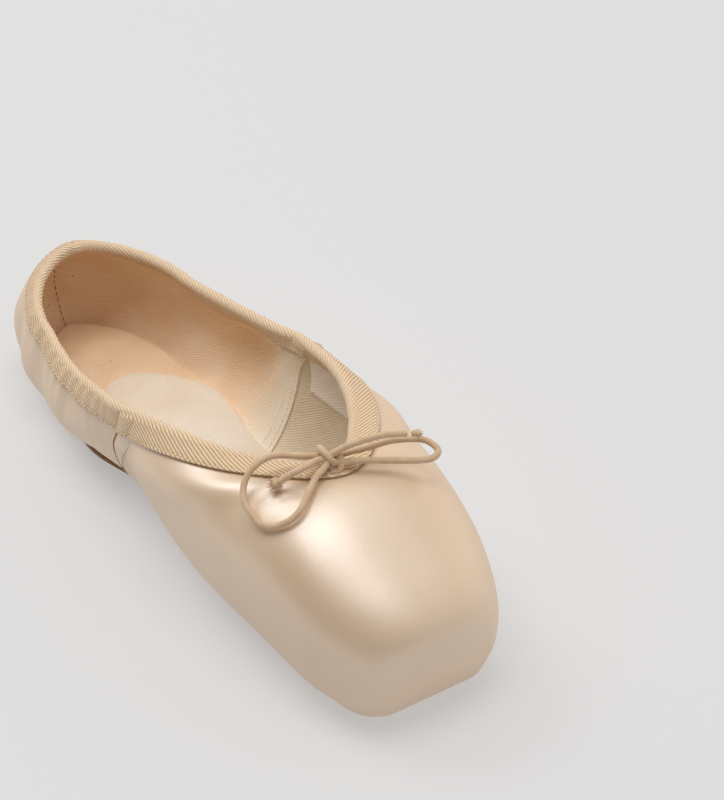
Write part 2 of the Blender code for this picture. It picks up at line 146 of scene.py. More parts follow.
LOOP_RIGHT = (
    (3.8, -0.8, 0.6),
    (7.0, -2.4, 1.4),
    (11.3, -4.1, 2.1),
    (14.9, -4.9, 2.5),
    (19.3, -5.5, 2.1),
    (23.5, -7.0, 1.7),
    (26.9, -9.1, 1.2),
    (28.5, -11.8, 0.3),
    (28.3, -14.0, -0.3),
    (26.2, -15.1, -0.8),
    (23.1, -14.6, -0.8),
    (19.2, -13.0, -0.4),
    (15.8, -11.1, -0.2),
    (12.3, -9.2, 0.1),
    (8.5, -7.3, 0.5),
    (5.2, -5.1, 0.3),
    (2.3, -3.1, -0.3),
)
RIGHT_CROSSING = (
    (0.3, -2.0, 0.2),
    (-1.6, -0.9, 0.9),
)
TAIL_LEFT = (
    (-3.6, -0.3, 1.2),
    (-8.6, -1.5, 1.9),
    (-12.3, -1.2, 1.2),
    (-15.3, 0.4, -1.2),
)

# The wrap is one oblique turn of cord round the strands. Its middle, directions and half sizes are in
# millimetres.
WRAP_MIDDLE = np.array((-0.8, 0.2, 1.3))
WRAP_ALONG = np.array((0.349, -0.747, -0.566)) * 3.0
WRAP_ACROSS = np.array((-0.448, -0.663, 0.599)) * 2.0
WRAP_RADIUS = CORD_DIAMETER * 0.48


def linear(code):
    """Linear colour of an sRGB hex value."""
    parts = [int(code[k:k + 2], 16) / 255 for k in (1, 3, 5)]
    return tuple(c / 12.92 if c <= 0.04045 else ((c + 0.055) / 1.055) ** 2.4 for c in parts) + (1.0,)


def add(material, kind, settings=None, **values):
    """Adds a node. Its inputs are given by name, or by number after an i, as values or as sockets."""
    node = material.node_tree.nodes.new(kind)
    for field, value in (settings or {}).items():
        setattr(node, field, value)
    for label, value in values.items():
        numbered = label[0] == "i" and label[1:].isdigit()
        socket = node.inputs[int(label[1:])] if numbered else node.inputs[label.replace("_", " ")]
        if isinstance(value, bpy.types.NodeSocket):
            material.node_tree.links.new(value, socket)
        else:
            socket.default_value = value
    return node


def new_material(name, roughness, specular, sheen):
    """Material with its nodes and its shader, set for a cloth's even gloss and sheen."""
    material = bpy.data.materials.new(name)
    material.use_nodes = True
    shader = material.node_tree.nodes["Principled BSDF"]
    shader.inputs["Roughness"].default_value = roughness
    shader.inputs["Specular IOR Level"].default_value = specular
    shader.inputs["Sheen Weight"].default_value = sheen
    shader.inputs["Sheen Roughness"].default_value = 0.4
    return material, shader


def ramp(material, factor, stops):
    """Colours between (place, hex colour) stops."""
    node = add(material, "ShaderNodeValToRGB", Fac=factor)
    for k, (place, code) in enumerate(stops):
        stop = node.color_ramp.elements[k] if k < 2 else node.color_ramp.elements.new(place)
        stop.position = place
        stop.color = linear(code)
    return node.outputs["Color"]


def calculate(material, operation, *values):
    """Result of a sum with sockets and numbers."""
    inputs = {f"i{k}": value for k, value in enumerate(values)}
    return add(material, "ShaderNodeMath", {"operation": operation}, **inputs).outputs[0]


def noise(material, coords, scale, detail):
    """Noise in the piece's own coordinates."""
    node = add(material, "ShaderNodeTexNoise", Vector=coords.outputs["Object"], Scale=scale, Detail=detail)
    return node.outputs["Fac"]


def stripes(material, coords, degrees, scale, distortion, detail_scale):
    """Slanting ribs along the cloth's map."""
    turned = add(material, "ShaderNodeMapping", Vector=coords.outputs["UV"],
                 Rotation=(0, 0, math.radians(degrees)))
    node = add(material, "ShaderNodeTexWave", Vector=turned.outputs["Vector"], Scale=scale,
               Distortion=distortion, Detail=2.0, Detail_Scale=detail_scale)
    return node.outputs["Fac"]


def mix_colour(material, share, base, code):
    """A colour with a share of a hex colour mixed in."""
    node = add(material, "ShaderNodeMix", {"data_type": "RGBA"}, i0=share, i6=base, i7=linear(code))
    return node.outputs[2]


def dress(material, shader, colour, height, strength, distance):
    """Gives a shader its colour and its small relief."""
    relief = add(material, "ShaderNodeBump", Height=height, Strength=strength, Distance=distance)
    material.node_tree.links.new(colour, shader.inputs["Base Color"])
    material.node_tree.links.new(relief.outputs["Normal"], shader.inputs["Normal"])
    return material


def smooth_curve(places, values):
    """Natural cubic spline through the values, as a function of the place."""
    x = np.array(places, float)
    y = np.array(values, float)
    gap = np.diff(x)
    rise = np.diff(y) / gap
    bend = np.zeros(len(x))
    links = np.diag(2 * (gap[:-1] + gap[1:])) + np.diag(gap[1:-1], 1) + np.diag(gap[1:-1], -1)
    bend[1:-1] = np.linalg.solve(links, 6 * np.diff(rise))

    def value(place):
        k = np.clip(np.searchsorted(x, place) - 1, 0, len(gap) - 1)
        before = place - x[k]
        after = x[k + 1] - place
        ends = (y[k] * after + y[k + 1] * before) / gap[k]
        lift = bend[k] * (after**3 / gap[k] - gap[k] * after)
        lift += bend[k + 1] * (before**3 / gap[k] - gap[k] * before)
        return ends + lift / 6

    return value


def run_lengths(points):
    """Length along a line at each of its points."""
    return np.concatenate([[0], np.cumsum(np.linalg.norm(np.diff(points, axis=0), axis=1))])


def columns_at(places, along, table):
    """Every column of a table read at new places."""
    return np.stack([np.interp(places, along, column) for column in table.T], axis=1)


def evenly(points, step):
    """Points at even steps along a line."""
    along = run_lengths(points)
    return columns_at(np.linspace(0, along[-1], max(3, round(along[-1] / step) + 1)), along, points)


def smooth_path(points, step):
    """Evenly spaced points of a smooth line through the given ones, and its length."""
    points = np.array(points, float)
    along = run_lengths(points)
    places = np.linspace(0, along[-1], 4000)
    dense = np.stack([smooth_curve(along, column)(places) for column in points.T], axis=1)
    return evenly(dense, step), run_lengths(dense)[-1]


def mesh_piece(name, points, faces, materials, uv=None, face_materials=None):
    """Smooth mesh object at the origin, with an optional map of (u, v) for each point in metres."""
    mesh = bpy.data.meshes.new(name)
    mesh.from_pydata(np.asarray(points).tolist(), [], [list(face) for face in faces])
    for material in materials:
        mesh.materials.append(material)
    if face_materials is not None:
        mesh.polygons.foreach_set("material_index", face_materials)
    if uv is not None:
        corners = np.empty(len(mesh.loops), int)
        mesh.loops.foreach_get("vertex_index", corners)
        layer = mesh.uv_layers.new(name="cloth")
        layer.data.foreach_set("uv", np.asarray(uv, float)[corners].ravel())
    mesh.shade_smooth()
    piece = bpy.data.objects.new(name, mesh)
    bpy.context.scene.collection.objects.link(piece)
    return piece


def tube(name, path, radius, sides, material, closed=False):
    """Round tube along a path, with a map of its length and girth. Open tubes have rounded ends."""
    tangent = np.gradient(path, axis=0)
    if closed:
        tangent[0] = tangent[-1] = path[1] - path[-2]
    tangent /= np.linalg.norm(tangent, axis=1, keepdims=True)
    side = np.cross(tangent[0], (0.3, 0.2, 1.0))
    radii = np.broadcast_to(np.asarray(radius, float), len(path))
    turns = np.linspace(0, 2 * math.pi, sides, endpoint=False)
    along = run_lengths(path)
    points = []
    uv = []
    for k, place in enumerate(path):
        side = side - tangent[k] * np.dot(side, tangent[k])
        side /= np.linalg.norm(side)
        other = np.cross(tangent[k], side)
        points += [place + radii[k] * (math.cos(t) * side + math.sin(t) * other) for t in turns]
        uv += [(along[k], t / (2 * math.pi)) for t in turns]
    faces = []
    for i in range(len(path) - 1):
        for j in range(sides):
            a = i * sides + j
            b = i * sides + (j + 1) % sides
            faces.append((a, b, b + sides, a + sides))
    if not closed:
        last = (len(path) - 1) * sides
        for first, k, order in ((0, 0, -1), (last, -1, 1)):
            points.append(path[k] + order * tangent[k] * radii[k] / 2)
            uv.append(uv[first])
            for j in range(sides):
                faces.append((first + j, first + (j + 1) % sides, len(points) - 1)[::order])
    return mesh_piece(name, points, faces, [material], uv)


def join(name, pieces):
    """One object from several meshes."""
    with bpy.context.temp_override(active_object=pieces[0], selected_editable_objects=pieces):
        bpy.ops.object.join()
    pieces[0].name = name
    return pieces[0]


def weld(piece):
    """Merges the points that meet and turns all faces outward."""
    shape = bmesh.new()
    shape.from_mesh(piece.data)
    bmesh.ops.remove_doubles(shape, verts=shape.verts, dist=0.00001)
    walls = [face for face in shape.faces if all(abs(vert.co.x) < 1e-6 for vert in face.verts)]
    bmesh.ops.delete(shape, geom=walls, context="FACES")
    bmesh.ops.recalc_face_normals(shape, faces=shape.faces)
    shape.to_mesh(piece.data)
    shape.free()


def ride(piece, slot, *nodes):
    """Fixes a piece to the shoe in place of CAD nodes, which it hides. The slot is not used."""
    if nodes:
        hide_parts(*nodes)
    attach(piece, "root")


def elastic_finish():
    """Braided cotton over rubber: dull cream, with a fine slanting rib.
    The braid is drawn 0.55 mm apart, coarser than the real one, so that it shows."""
    material, shader = new_material("braided_elastic", 0.6, 0.4, 0.25)
    coords = add(material, "ShaderNodeTexCoord")
    scaled = add(material, "ShaderNodeMapping", Vector=coords.outputs["UV"], Scale=(1820.0, 3.0, 1.0))
    braid = add(material, "ShaderNodeTexWave", {"bands_direction": "DIAGONAL"},
                Vector=scaled.outputs["Vector"], Scale=0.314, Distortion=0.8, Detail=1.0)
    patch = noise(material, coords, 300.0, 3.0)
    tone = calculate(material, "MULTIPLY_ADD", braid.outputs["Fac"], 0.15, patch)
    colour = ramp(material, tone, ((0.35, "#CFAE8A"), (0.90, "#E2C7A6")))
    return dress(material, shader, colour, braid.outputs["Fac"], 0.15, 0.00008)


def frayed_knot(name, node, direction, count, size, seed):
    """Small overhand knot at a strand's end, as a trefoil of cord with frayed threads round it."""
    low, high = np.array(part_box(node))
    middle = (low + high) / 2
    axis = direction / np.linalg.norm(direction)
    across = np.cross(axis, (0.0, 0.0, 1.0))
    across /= np.linalg.norm(across)
    up = np.cross(across, axis)
    turns = np.linspace(0, 2 * math.pi, 60)
    loops = np.stack([
        np.sin(turns) + 2 * np.sin(2 * turns),
        np.cos(turns) - 2 * np.cos(2 * turns),
        -np.sin(3 * turns),
    ], axis=1) * size * 0.2
    path = middle + loops[:, :1] * across + loops[:, 1:2] * up + loops[:, 2:] * axis
    neck = np.linspace(middle - axis * size * 1.1, middle, 6)
    pieces = [
        tube(name, path, size * 0.32, 10, elastic, closed=True),
        tube(name + "_neck", neck, CORD_DIAMETER / 2, 10, elastic),
    ]
    rng = np.random.default_rng(seed)
    for k in range(count):
        way = rng.normal(0, 1, 3) + axis * 1.1
        way /= np.linalg.norm(way)
        start = middle + way * size * 0.35
        length = size * (0.45 + 0.5 * rng.random())
        bend = rng.normal(0, 0.3, 3) * length
        line = np.array([start + way * length * s + bend * s * s for s in (0, 0.35, 0.7, 1.0)])
        pieces.append(tube(f"thread_{k}", line, (0.00010, 0.00009, 0.00008, 0.00004), 4, elastic))
    return join(name, pieces)


def make_bow():
    """Both strands with their loops and ends, and the wrap of the knot."""
    turns = np.linspace(0, 2 * math.pi, 61)[:, None]
    ring = WRAP_MIDDLE + WRAP_ALONG * np.cos(turns) + WRAP_ACROSS * np.sin(turns)
    wrap = tube("bow_wrap", KNOT_MIDDLE + ring * MILLIMETRE, WRAP_RADIUS, CORD_SIDES, elastic, closed=True)
    ride(wrap, "bow_elastic", "bow_knot")
    strands = (
        ("left", "right", LEFT_SLOT + LOOP_LEFT + LEFT_CROSSING + TAIL_RIGHT, 0.0014, 34),
        ("right", "left", RIGHT_SLOT + LOOP_RIGHT + RIGHT_CROSSING + TAIL_LEFT, 0.0022, 90),
    )
    for k, (loop, tail, route, size, count) in enumerate(strands):
        path, length = smooth_path(KNOT_MIDDLE + np.array(route) * MILLIMETRE, STRAND_STEP)
        strand = tube("strand_" + loop, path, CORD_DIAMETER / 2, CORD_SIDES, elastic)
        way = path[-1] - path[-8]
        knot = frayed_knot("frayed_knot_" + tail, "tip_" + tail, way, count, size, seed=k + 1)
        ride(strand, "bow_elastic", "loop_" + loop, "tail_" + tail)
        ride(knot, "bow_elastic", "tip_" + tail)


elastic = elastic_finish()
make_bow()


# Upper
# Satin over cotton. Two quarters run round the heel. A vamp laps over them at the side seams, runs round
# the stiff box of the toe and is pleated under it. Inside, the quarters' lining laps over the vamp's.
LENGTH = 0.235
HEEL_WIDTH = 0.0635
BALL_WIDTH = 0.0752
TOE_WIDTH = 0.050
HEEL_HEIGHT = 0.0437
INSTEP_HEIGHT = 0.0546
TOE_HEIGHT = 0.0352
HEEL_FAN = 0.20
SIDE_SEAM = 0.463
THROAT = 0.759
TOE_ROUND = 0.945
SOLE_FRONT = 0.905
OPENING_FRONT = 0.87
HEEL_PLAN = 1.75
SIDE_ROUNDNESS = 1.51
TOE_ROUNDING = 0.0060
PLATFORM_SQUASH = 0.50
PLATFORM_LEAN = 0.20
LEAN_START = 0.85
PLATFORM_DOME = 0.0015
SOLE_THICKNESS = 0.0022
QUARTER_WALL = 0.0014
BOX_WALL = 0.0030
WALL_RUN = (0.66, 0.91)
VAMP_LAP = 0.0005
LINING_LAP = 0.00045
CLEARANCE = 0.0003
WAIST_ARCH = 0.0035
ARCH_RISE = (0.22, 0.38)
ARCH_FALL = (0.48, 0.66)
TOE_DROP = 0.0010
DROP_RUN = (0.91, 0.95)
OPENING_SHARE = 0.66
SOLE_NOSE = 0.78
RIGHT_ANGLE = math.pi / 2

# Columns: station, half width, height of the widest line, height of the top, feather, roundness
SECTIONS = (
    (0.00, 0.500 * HEEL_WIDTH, 0.40 * HEEL_HEIGHT, 1.00 * HEEL_HEIGHT, 0.84, 2.25),
    (0.20, 0.500 * HEEL_WIDTH, 0.42 * HEEL_HEIGHT, 0.83 * HEEL_HEIGHT, 0.68, 2.25),
    (0.33, 0.490 * BALL_WIDTH, 0.54 * HEEL_HEIGHT, 0.88 * HEEL_HEIGHT, 0.63, 2.20),
    (0.45, 0.455 * BALL_WIDTH, 0.59 * INSTEP_HEIGHT, 0.82 * INSTEP_HEIGHT, 0.56, 2.30),
    (0.58, 0.493 * BALL_WIDTH, 0.61 * INSTEP_HEIGHT, 0.95 * INSTEP_HEIGHT, 0.61, 2.47),
    (0.70, 0.500 * BALL_WIDTH, 0.60 * INSTEP_HEIGHT, 1.00 * INSTEP_HEIGHT, 0.64, 2.62),
    (0.80, 0.465 * BALL_WIDTH, 0.52 * INSTEP_HEIGHT, 1.02 * INSTEP_HEIGHT, 0.67, 2.64),
    (0.90, 0.632 * TOE_WIDTH, 0.60 * TOE_HEIGHT, 1.33 * TOE_HEIGHT, 0.71, 2.74),
    (1.00, 0.471 * TOE_WIDTH, 0.39 * TOE_HEIGHT, 1.00 * TOE_HEIGHT, 0.72, 2.57),
)

# Columns: station, half width of the collar's opening as a share of the half width
COLLAR = ((0.00, 0.58), (0.20, 0.84), (0.33, 0.86), (0.45, 0.99))
THROAT_RISE = 1.28
THROAT_CURVE = 0.59

# Columns: level, station of the vamp's rear edge outside, of its row of stitches, and of the lining's edge.
# The level is 1 at the feather line, 2 at the widest line and 3 at the collar.
SEAM_LINES = (
    (1.00, 0.446, 0.446, 0.474),
    (1.63, 0.449, 0.453, 0.462),
    (1.98, 0.456, 0.487, 0.460),
    (2.44, 0.471, 0.505, 0.474),
    (3.00, 0.476, 0.512, 0.490),
)
SEAM_BLEND = 0.10

half_width_at, widest_at, top_at, feather_at, roundness_at = (
    smooth_curve([row[0] for row in SECTIONS], column) for column in list(zip(*SECTIONS))[1:]
)
collar_at = smooth_curve(*zip(*COLLAR))
vamp_edge_at, vamp_row_at, lining_edge_at = (
    smooth_curve([row[0] for row in SEAM_LINES], column) for column in list(zip(*SEAM_LINES))[1:]
)

# Folds of the satin. Columns: side (-1 is the viewer's left), place along the shoe from the
# heel and height above the floor, half width and half length of the fold, how far it stands out, all in
# millimetres, and its lean from upright in degrees.
SATIN_FOLDS = (
    (-1, 79, 30, 4.0, 6.0, -0.95, -8),
    (-1, 69, 26, 5.0, 9.0, 0.55, 10),
    (-1, 92, 25, 4.5, 8.0, 0.50, 0),
    (-1, 84, 14, 6.0, 5.0, -0.50, 30),
    (-1, 101, 27, 1.6, 7.0, -0.35, 4),
    (-1, 104.5, 28, 1.2, 6.0, -0.30, 2),
    (-1, 52, 24, 3.0, 10.0, -0.80, 12),
    (-1, 42, 22, 4.0, 9.0, 0.70, 8),
    (-1, 33, 24, 2.6, 9.0, -0.85, 4),
    (-1, 25, 22, 4.0, 10.0, 0.60, 0),
    (-1, 113, 26, 2.4, 6.0, -0.75, 18),
    (-1, 121, 34, 3.0, 3.5, -0.30, 60),
    (1, 30, 24, 3.0, 9.0, -0.50, -6),
    (1, 41, 24, 4.5, 9.0, 0.45, 0),
    (1, 52, 26, 3.5, 9.0, -0.60, 8),
    (1, 62, 26, 4.5, 9.0, 0.50, 0),
    (1, 73, 27, 3.5, 9.0, -0.65, -8),
    (1, 84, 24, 5.0, 9.0, 0.45, 0),
    (1, 95, 27, 2.4, 8.0, -0.45, 5),
    (1, 101, 28, 1.6, 7.0, -0.30, 0),
    (1, 112, 26, 2.4, 6.0, -0.70, 18),
)

# Folds of the lining, with the same columns. A rise towards the foot is negative.
LINING_FOLDS = (
    (1, 30, 20, 6.0, 12.0, -0.5, 30),
    (1, 47, 16, 7.0, 16.0, 0.4, 40),
    (1, 62, 24, 8.0, 9.0, -1.0, 20),
    (1, 80, 20, 7.0, 12.0, 0.3, 25),
    (1, 97, 26, 5.0, 10.0, -0.7, -20),
    (-1, 40, 20, 7.0, 12.0, -0.6, -20),
    (-1, 58, 22, 7.0, 12.0, 0.3, 20),
    (-1, 75, 24, 6.0, 10.0, -0.7, 0),
    (-1, 95, 24, 6.0, 10.0, 0.3, -20),
)

# The folds are made this many times as deep as their tables say
FOLD_DEPTH = 1.6
GATHER_PITCH = 0.0062
GATHER_HEIGHT = 0.00050
GATHER_FADE = 0.011
PLEAT_HEIGHT = 0.0012
TOE_ROWS = 36
SOFT_COLUMNS = (0.45, 0.75)
SOFT_STEPS = 50
SOFT_MARGIN = 8
CLOTH_ROWS = 74
TOE_RINGS = 14
PUFF_HEIGHT = 0.0018
PUFF_PLACE = 0.0150
PUFF_WIDTH = 0.0062
TUCK_DEPTH = 0.0008
TUCK_STATION = 0.37
TUCK_RUN = 0.06
SEAM_GROOVE = 0.0007
SEAM_LEAF = 0.0007
CASING_LINE = 0.0085


def ease(place, start, end):
    """0 before the start, 1 after the end and a smooth step between them."""
    share = np.clip((place - start) / (end - start), 0, 1)
    return share * share * (3 - 2 * share)


def bump(place, middle, width):
    """Smooth bump of height 1 round a place."""
    return np.exp(-(((place - middle) / width) ** 2))


def underside(station):
    """Height of the upper's flat bottom."""
    arch = ease(station, *ARCH_RISE) * (1 - ease(station, *ARCH_FALL))
    return SOLE_THICKNESS + CLEARANCE + WAIST_ARCH * arch - TOE_DROP * ease(station, *DROP_RUN)


def collar_share(station):
    """Half width of the collar's opening as a share of the half width, 0 in front of the throat."""
    last = COLLAR[-1][0]
    along = np.clip((station - last) / (THROAT - last), 0, 1)
    front = COLLAR[-1][1] * (1 - along**THROAT_RISE) ** THROAT_CURVE
    return np.where(station < last, collar_at(np.minimum(station, last)), front)


def edge_turn(station):
    """Turn of the section, up from the widest line, at the collar's edge or at the crown."""
    return np.arccos(collar_share(station) ** (roundness_at(np.maximum(station, HEEL_FAN)) / 2))


def toe_place(station):
    """Place along the shoe, as a share of its length, and the turn of the rounding at the toe."""
    turn = np.clip((station - TOE_ROUND) / (1 - TOE_ROUND), 0, 1) * RIGHT_ANGLE
    return np.minimum(station, TOE_ROUND) + (1 - TOE_ROUND) * np.sin(turn), turn


def bare_skin(station, turn, under):
    """Points of the outer form. The turn runs from -90 degrees at the feather line to 0 at the widest line
    and up to the collar or crown. Below the feather line, under is the share of the flat bottom's width."""
    flat, toe = toe_place(station)
    body = np.maximum(flat, HEEL_FAN)
    half = half_width_at(body)
    widest = widest_at(body)
    roundness = roundness_at(body)
    low = underside(flat)
    top = top_at(flat)
    feather = feather_at(flat)
    crown = widest + (top - widest) / (1 - collar_share(flat) ** roundness) ** (1 / roundness)
    lower = np.clip(-turn, 0, RIGHT_ANGLE)
    upper = np.clip(turn, 0, RIGHT_ANGLE)
    lower_out = feather + (1 - feather) * np.cos(lower) ** (2 / SIDE_ROUNDNESS)
    lower_up = widest - (widest - low) * np.sin(lower) ** (2 / SIDE_ROUNDNESS)
    upper_out = np.abs(np.cos(upper)) ** (2 / roundness)
    upper_up = widest + (crown - widest) * np.sin(upper) ** (2 / roundness)
    out = np.where(under < 1, feather * under, np.where(turn < 0, lower_out, upper_out))
    up = np.where(under < 1, low, np.where(turn < 0, lower_up, upper_up))
    out = np.where(out < 1e-6, 0, out)
    fan = np.clip(station / HEEL_FAN, 0, 1) * RIGHT_ANGLE
    across = half * np.sin(fan) ** (2 / HEEL_PLAN)
    back = HEEL_FAN * LENGTH * np.abs(np.cos(fan)) ** (2 / HEEL_PLAN)
    from_heel = np.where(station < HEEL_FAN, HEEL_FAN * LENGTH - out * back, flat * LENGTH)
    inset = TOE_ROUNDING * (1 - np.cos(toe))
    middle = (top + low) / 2
    squash = 1 - inset * PLATFORM_SQUASH / (top - middle)
    z = middle + (up - middle) * squash
    from_heel = from_heel + PLATFORM_LEAN * ease(station, LEAN_START, 1) * (z - top)
    return np.stack([out * across * (1 - inset / half), LENGTH / 2 - from_heel, z], -1)


def outward(station, turn, under):
    """Unit normals of the outer form."""
    step = 2e-4
    flat = under < 1
    ahead = bare_skin(np.minimum(station + step, 1), turn, under)
    behind = bare_skin(np.maximum(station - step, 0), turn, under)
    higher = np.where(flat, turn, np.minimum(turn + step, RIGHT_ANGLE))
    lower = np.where(flat, turn, np.maximum(turn - step, -RIGHT_ANGLE))
    above = bare_skin(station, higher, np.minimum(under + step, 1))
    below = bare_skin(station, lower, np.where(flat, np.maximum(under - step, 0), 1))
    normal = np.cross(above - below, ahead - behind)
    on_middle = np.abs(bare_skin(station, turn, under)[..., 0]) < 1e-7
    normal[..., 0] = np.where(on_middle, 0, normal[..., 0])
    return normal / np.linalg.norm(normal, axis=-1, keepdims=True)


def skin_line(side, stations, levels, rise):
    """Points of a line on the upper at a height above its outer form, or below it when negative."""
    stations = np.asarray(stations, float)
    levels = np.asarray(levels, float)
    turn = np.where(levels < 2, (levels - 2) * RIGHT_ANGLE, (levels - 2) * edge_turn(stations))
    full = np.ones(stations.shape)
    points = bare_skin(stations, turn, full) + outward(stations, turn, full) * rise
    return points * np.array([side, 1, 1])


def wall(station):
    """Thickness of the upper, which is stiffened towards the box."""
    return QUARTER_WALL + (BOX_WALL - QUARTER_WALL) * ease(station, *WALL_RUN)


def levels_of(station, turn, under):
    """Levels: 1 at the feather line, 2 at the widest line and 3 at the collar."""
    upper = 2 + np.clip(turn, 0, None) / np.maximum(edge_turn(np.minimum(station, TOE_ROUND)), 1e-6)
    return np.where(under < 1, under, np.where(turn < 0, 2 + turn / RIGHT_ANGLE, np.minimum(upper, 3)))


def puff(station, below_edge):
    """Swelling of the vamp's satin in front of the tape, which draws it in."""
    along = ease(station, SIDE_SEAM + 0.02, SIDE_SEAM + 0.10)
    along = along * (1 - ease(station, THROAT - 0.06, THROAT + 0.02))
    return PUFF_HEIGHT * bump(below_edge, PUFF_PLACE, PUFF_WIDTH) * along


def tuck(station, height):
    """Tuck of the satin over the sole's edge at the waist."""
    return -TUCK_DEPTH * bump(station, TUCK_STATION, TUCK_RUN) * (1 - ease(height, 0.008, 0.020))


def seam_leaf(station, level):
    """Swelling of the vamp between its rear edge and its row of stitches."""
    edge = vamp_edge_at(np.clip(level, 1, 3))
    row = vamp_row_at(np.clip(level, 1, 3))
    share = np.clip((station - edge) / np.maximum(row - edge, 1e-3), 0, 1)
    return SEAM_LEAF * np.sin(math.pi * share) * ease(level, 1.5, 1.9) * (row > edge + 2e-3)


def folds(table, station, side, height):
    """Soft troughs and ridges of a table of folds."""
    along = station * LENGTH / MILLIMETRE
    up = height / MILLIMETRE
    total = np.zeros(np.shape(station))
    for fold_side, place, level, width, length, rise, lean in table:
        if fold_side == side:
            c, s = math.cos(math.radians(lean)), math.sin(math.radians(lean))
            across = (along - place) * c + (up - level) * s
            upright = (up - level) * c - (along - place) * s
            shape = np.exp(-((across / width) ** 2) - (upright / length) ** 2)
            total += FOLD_DEPTH * rise * MILLIMETRE * shape
    return total


def gathers(station, side, below_edge):
    """Small upright folds under the collar of the quarters, where the drawstring draws the cloth in."""
    along = station * LENGTH
    wave = np.sin(2 * math.pi * along / GATHER_PITCH + 1.9 * side + 1.6 * np.sin(along / 0.013 + side))
    swell = 0.6 + 0.4 * np.sin(along / 0.019 + 2.0 * side)
    span = ease(station, 0.08, 0.16) * (1 - ease(station, SIDE_SEAM - 0.02, SIDE_SEAM + 0.02))
    return GATHER_HEIGHT * wave * swell * np.exp(-below_edge / GATHER_FADE) * span


def pleats(station, points):
    """Pleats of the satin under the toe, which fan out from the front of the sole."""
    x, y, z = points[..., 0], points[..., 1], points[..., 2]
    ahead = LENGTH / 2 - SOLE_NOSE * LENGTH - y
    angle = np.arctan2(x, ahead)
    wave = np.abs(np.sin(angle * 9.5 + 0.6 * np.sin(4.3 * angle + 0.7) + 0.4)) ** 0.6
    front = ease(np.hypot(x, ahead), 0.016, 0.024) * ease(ahead, -0.006, 0.010)
    low = (1 - ease(z, 0.0022, 0.0085)) * (1 - ease(station, 0.96, 1.0))
    return PLEAT_HEIGHT * (wave - 0.85) * front * low


def satin_rise(station, turn, under, side, points, below_edge):
    """Height of the satin above its plain form."""
    rise = folds(SATIN_FOLDS, station, side, points[..., 2]) * ease(points[..., 2], 0.004, 0.010)
    back_seam = -0.00022 * bump(points[..., 0], 0, 0.0007) * (station < HEEL_FAN / 2)
    level = levels_of(station, turn, under)
    row = bump((station - vamp_row_at(level)) * LENGTH, 0, 0.0006) * (under >= 1)
    turned = points * np.array([side, 1, 1])
    rise = rise + gathers(station, side, below_edge) + pleats(station, turned) + back_seam
    rise = rise + puff(station, below_edge) + tuck(station, points[..., 2])
    return rise - 0.00016 * row


def lining_rise(station, side, points, below_edge):
    """Height of the lining above its plain form. Towards the foot is negative."""
    rise = folds(LINING_FOLDS, station, side, points[..., 2]) * ease(points[..., 2], 0.008, 0.014)
    return rise - 0.00035 * bump(below_edge, CASING_LINE, 0.0012) * (station < SIDE_SEAM)


def opening_share(station):
    """Share of the flat bottom's width that is open, above the sole."""
    along = np.clip((station - SOLE_NOSE) / (OPENING_FRONT - SOLE_NOSE), 0, 1)
    return OPENING_SHARE * np.sqrt(1 - along**2)


def section_grid(stations, rows):
    """Turns and under shares of evenly spaced rows at each station, from the bottom's opening up."""
    turns, unders = [], []
    lower = -RIGHT_ANGLE * (1 - np.linspace(0, 1, 80, endpoint=False) ** 1.2)
    rising = 1 - (1 - np.linspace(0, 1, 100)) ** 1.3
    for station in stations:
        start = float(opening_share(station))
        under = np.concatenate([np.linspace(start, 1, 14)[:-1], np.ones(180)])
        upper = float(edge_turn(toe_place(station)[0])) * rising
        turn = np.concatenate([np.full(13, -RIGHT_ANGLE), lower, upper])
        along = run_lengths(bare_skin(np.full(len(turn), station), turn, under))
        even = np.linspace(0, along[-1], rows)
        turns.append(np.interp(even, along, turn))
        unders.append(np.interp(even, along, under))
    return np.array(turns), np.array(unders)


def cloth_side(stations, rows, side, edge_line, seam_at, outer_extra, inner_extra):
    """Outer and inner points of one side of a panel, with a map in metres. Its edge follows a seam line."""
    turn, under = section_grid(stations, rows)
    along = np.repeat(stations[:, None], rows, 1)
    level = levels_of(along, turn, under)
    shift = seam_at(np.clip(level, 1, 3)) - edge_line
    moved = along + shift * (1 - ease(np.abs(along - edge_line), 0, SEAM_BLEND))
    plain_edge = np.maximum(edge_turn(toe_place(along)[0]), 1e-6)
    turn = np.where(turn > 0, turn / plain_edge * edge_turn(toe_place(moved)[0]), turn)
    bare = bare_skin(moved, turn, under)
    gaps = np.linalg.norm(np.diff(bare, axis=1), axis=2)
    below_edge = np.pad(np.cumsum(gaps[:, ::-1], axis=1)[:, ::-1], ((0, 0), (0, 1)))
    normal = outward(moved, turn, under)
    outer = satin_rise(moved, turn, under, side, bare, below_edge) + outer_extra(moved, level)
    inner = lining_rise(moved, side, bare, below_edge) - wall(moved) - inner_extra(moved, level)
    layers = [(bare + normal * rise[..., None]) * np.array([side, 1, 1]) for rise in (outer, inner)]
    return layers, np.stack([moved * LENGTH, -below_edge], -1)


def soften_toe(table, start):
    """Rounds the crown's turn into the platform: rows from a start are spaced evenly and relaxed."""
    rows = len(table) - start
    for column in range(table.shape[1]):
        line = table[start:, column]
        along = run_lengths(line[:, :3])
        line = columns_at(np.linspace(0, along[-1], rows), along, line)
        share = ease(column / (table.shape[1] - 1), *SOFT_COLUMNS)
        inward = np.minimum(np.arange(rows), np.arange(rows)[::-1]) / SOFT_MARGIN
        weight = (0.5 * share * np.minimum(1, inward))[1:-1, None]
        for _ in range(SOFT_STEPS):
            line[1:-1, :3] += weight * ((line[:-2, :3] + line[2:, :3]) / 2 - line[1:-1, :3])
        table[start:, column] = line
    return table


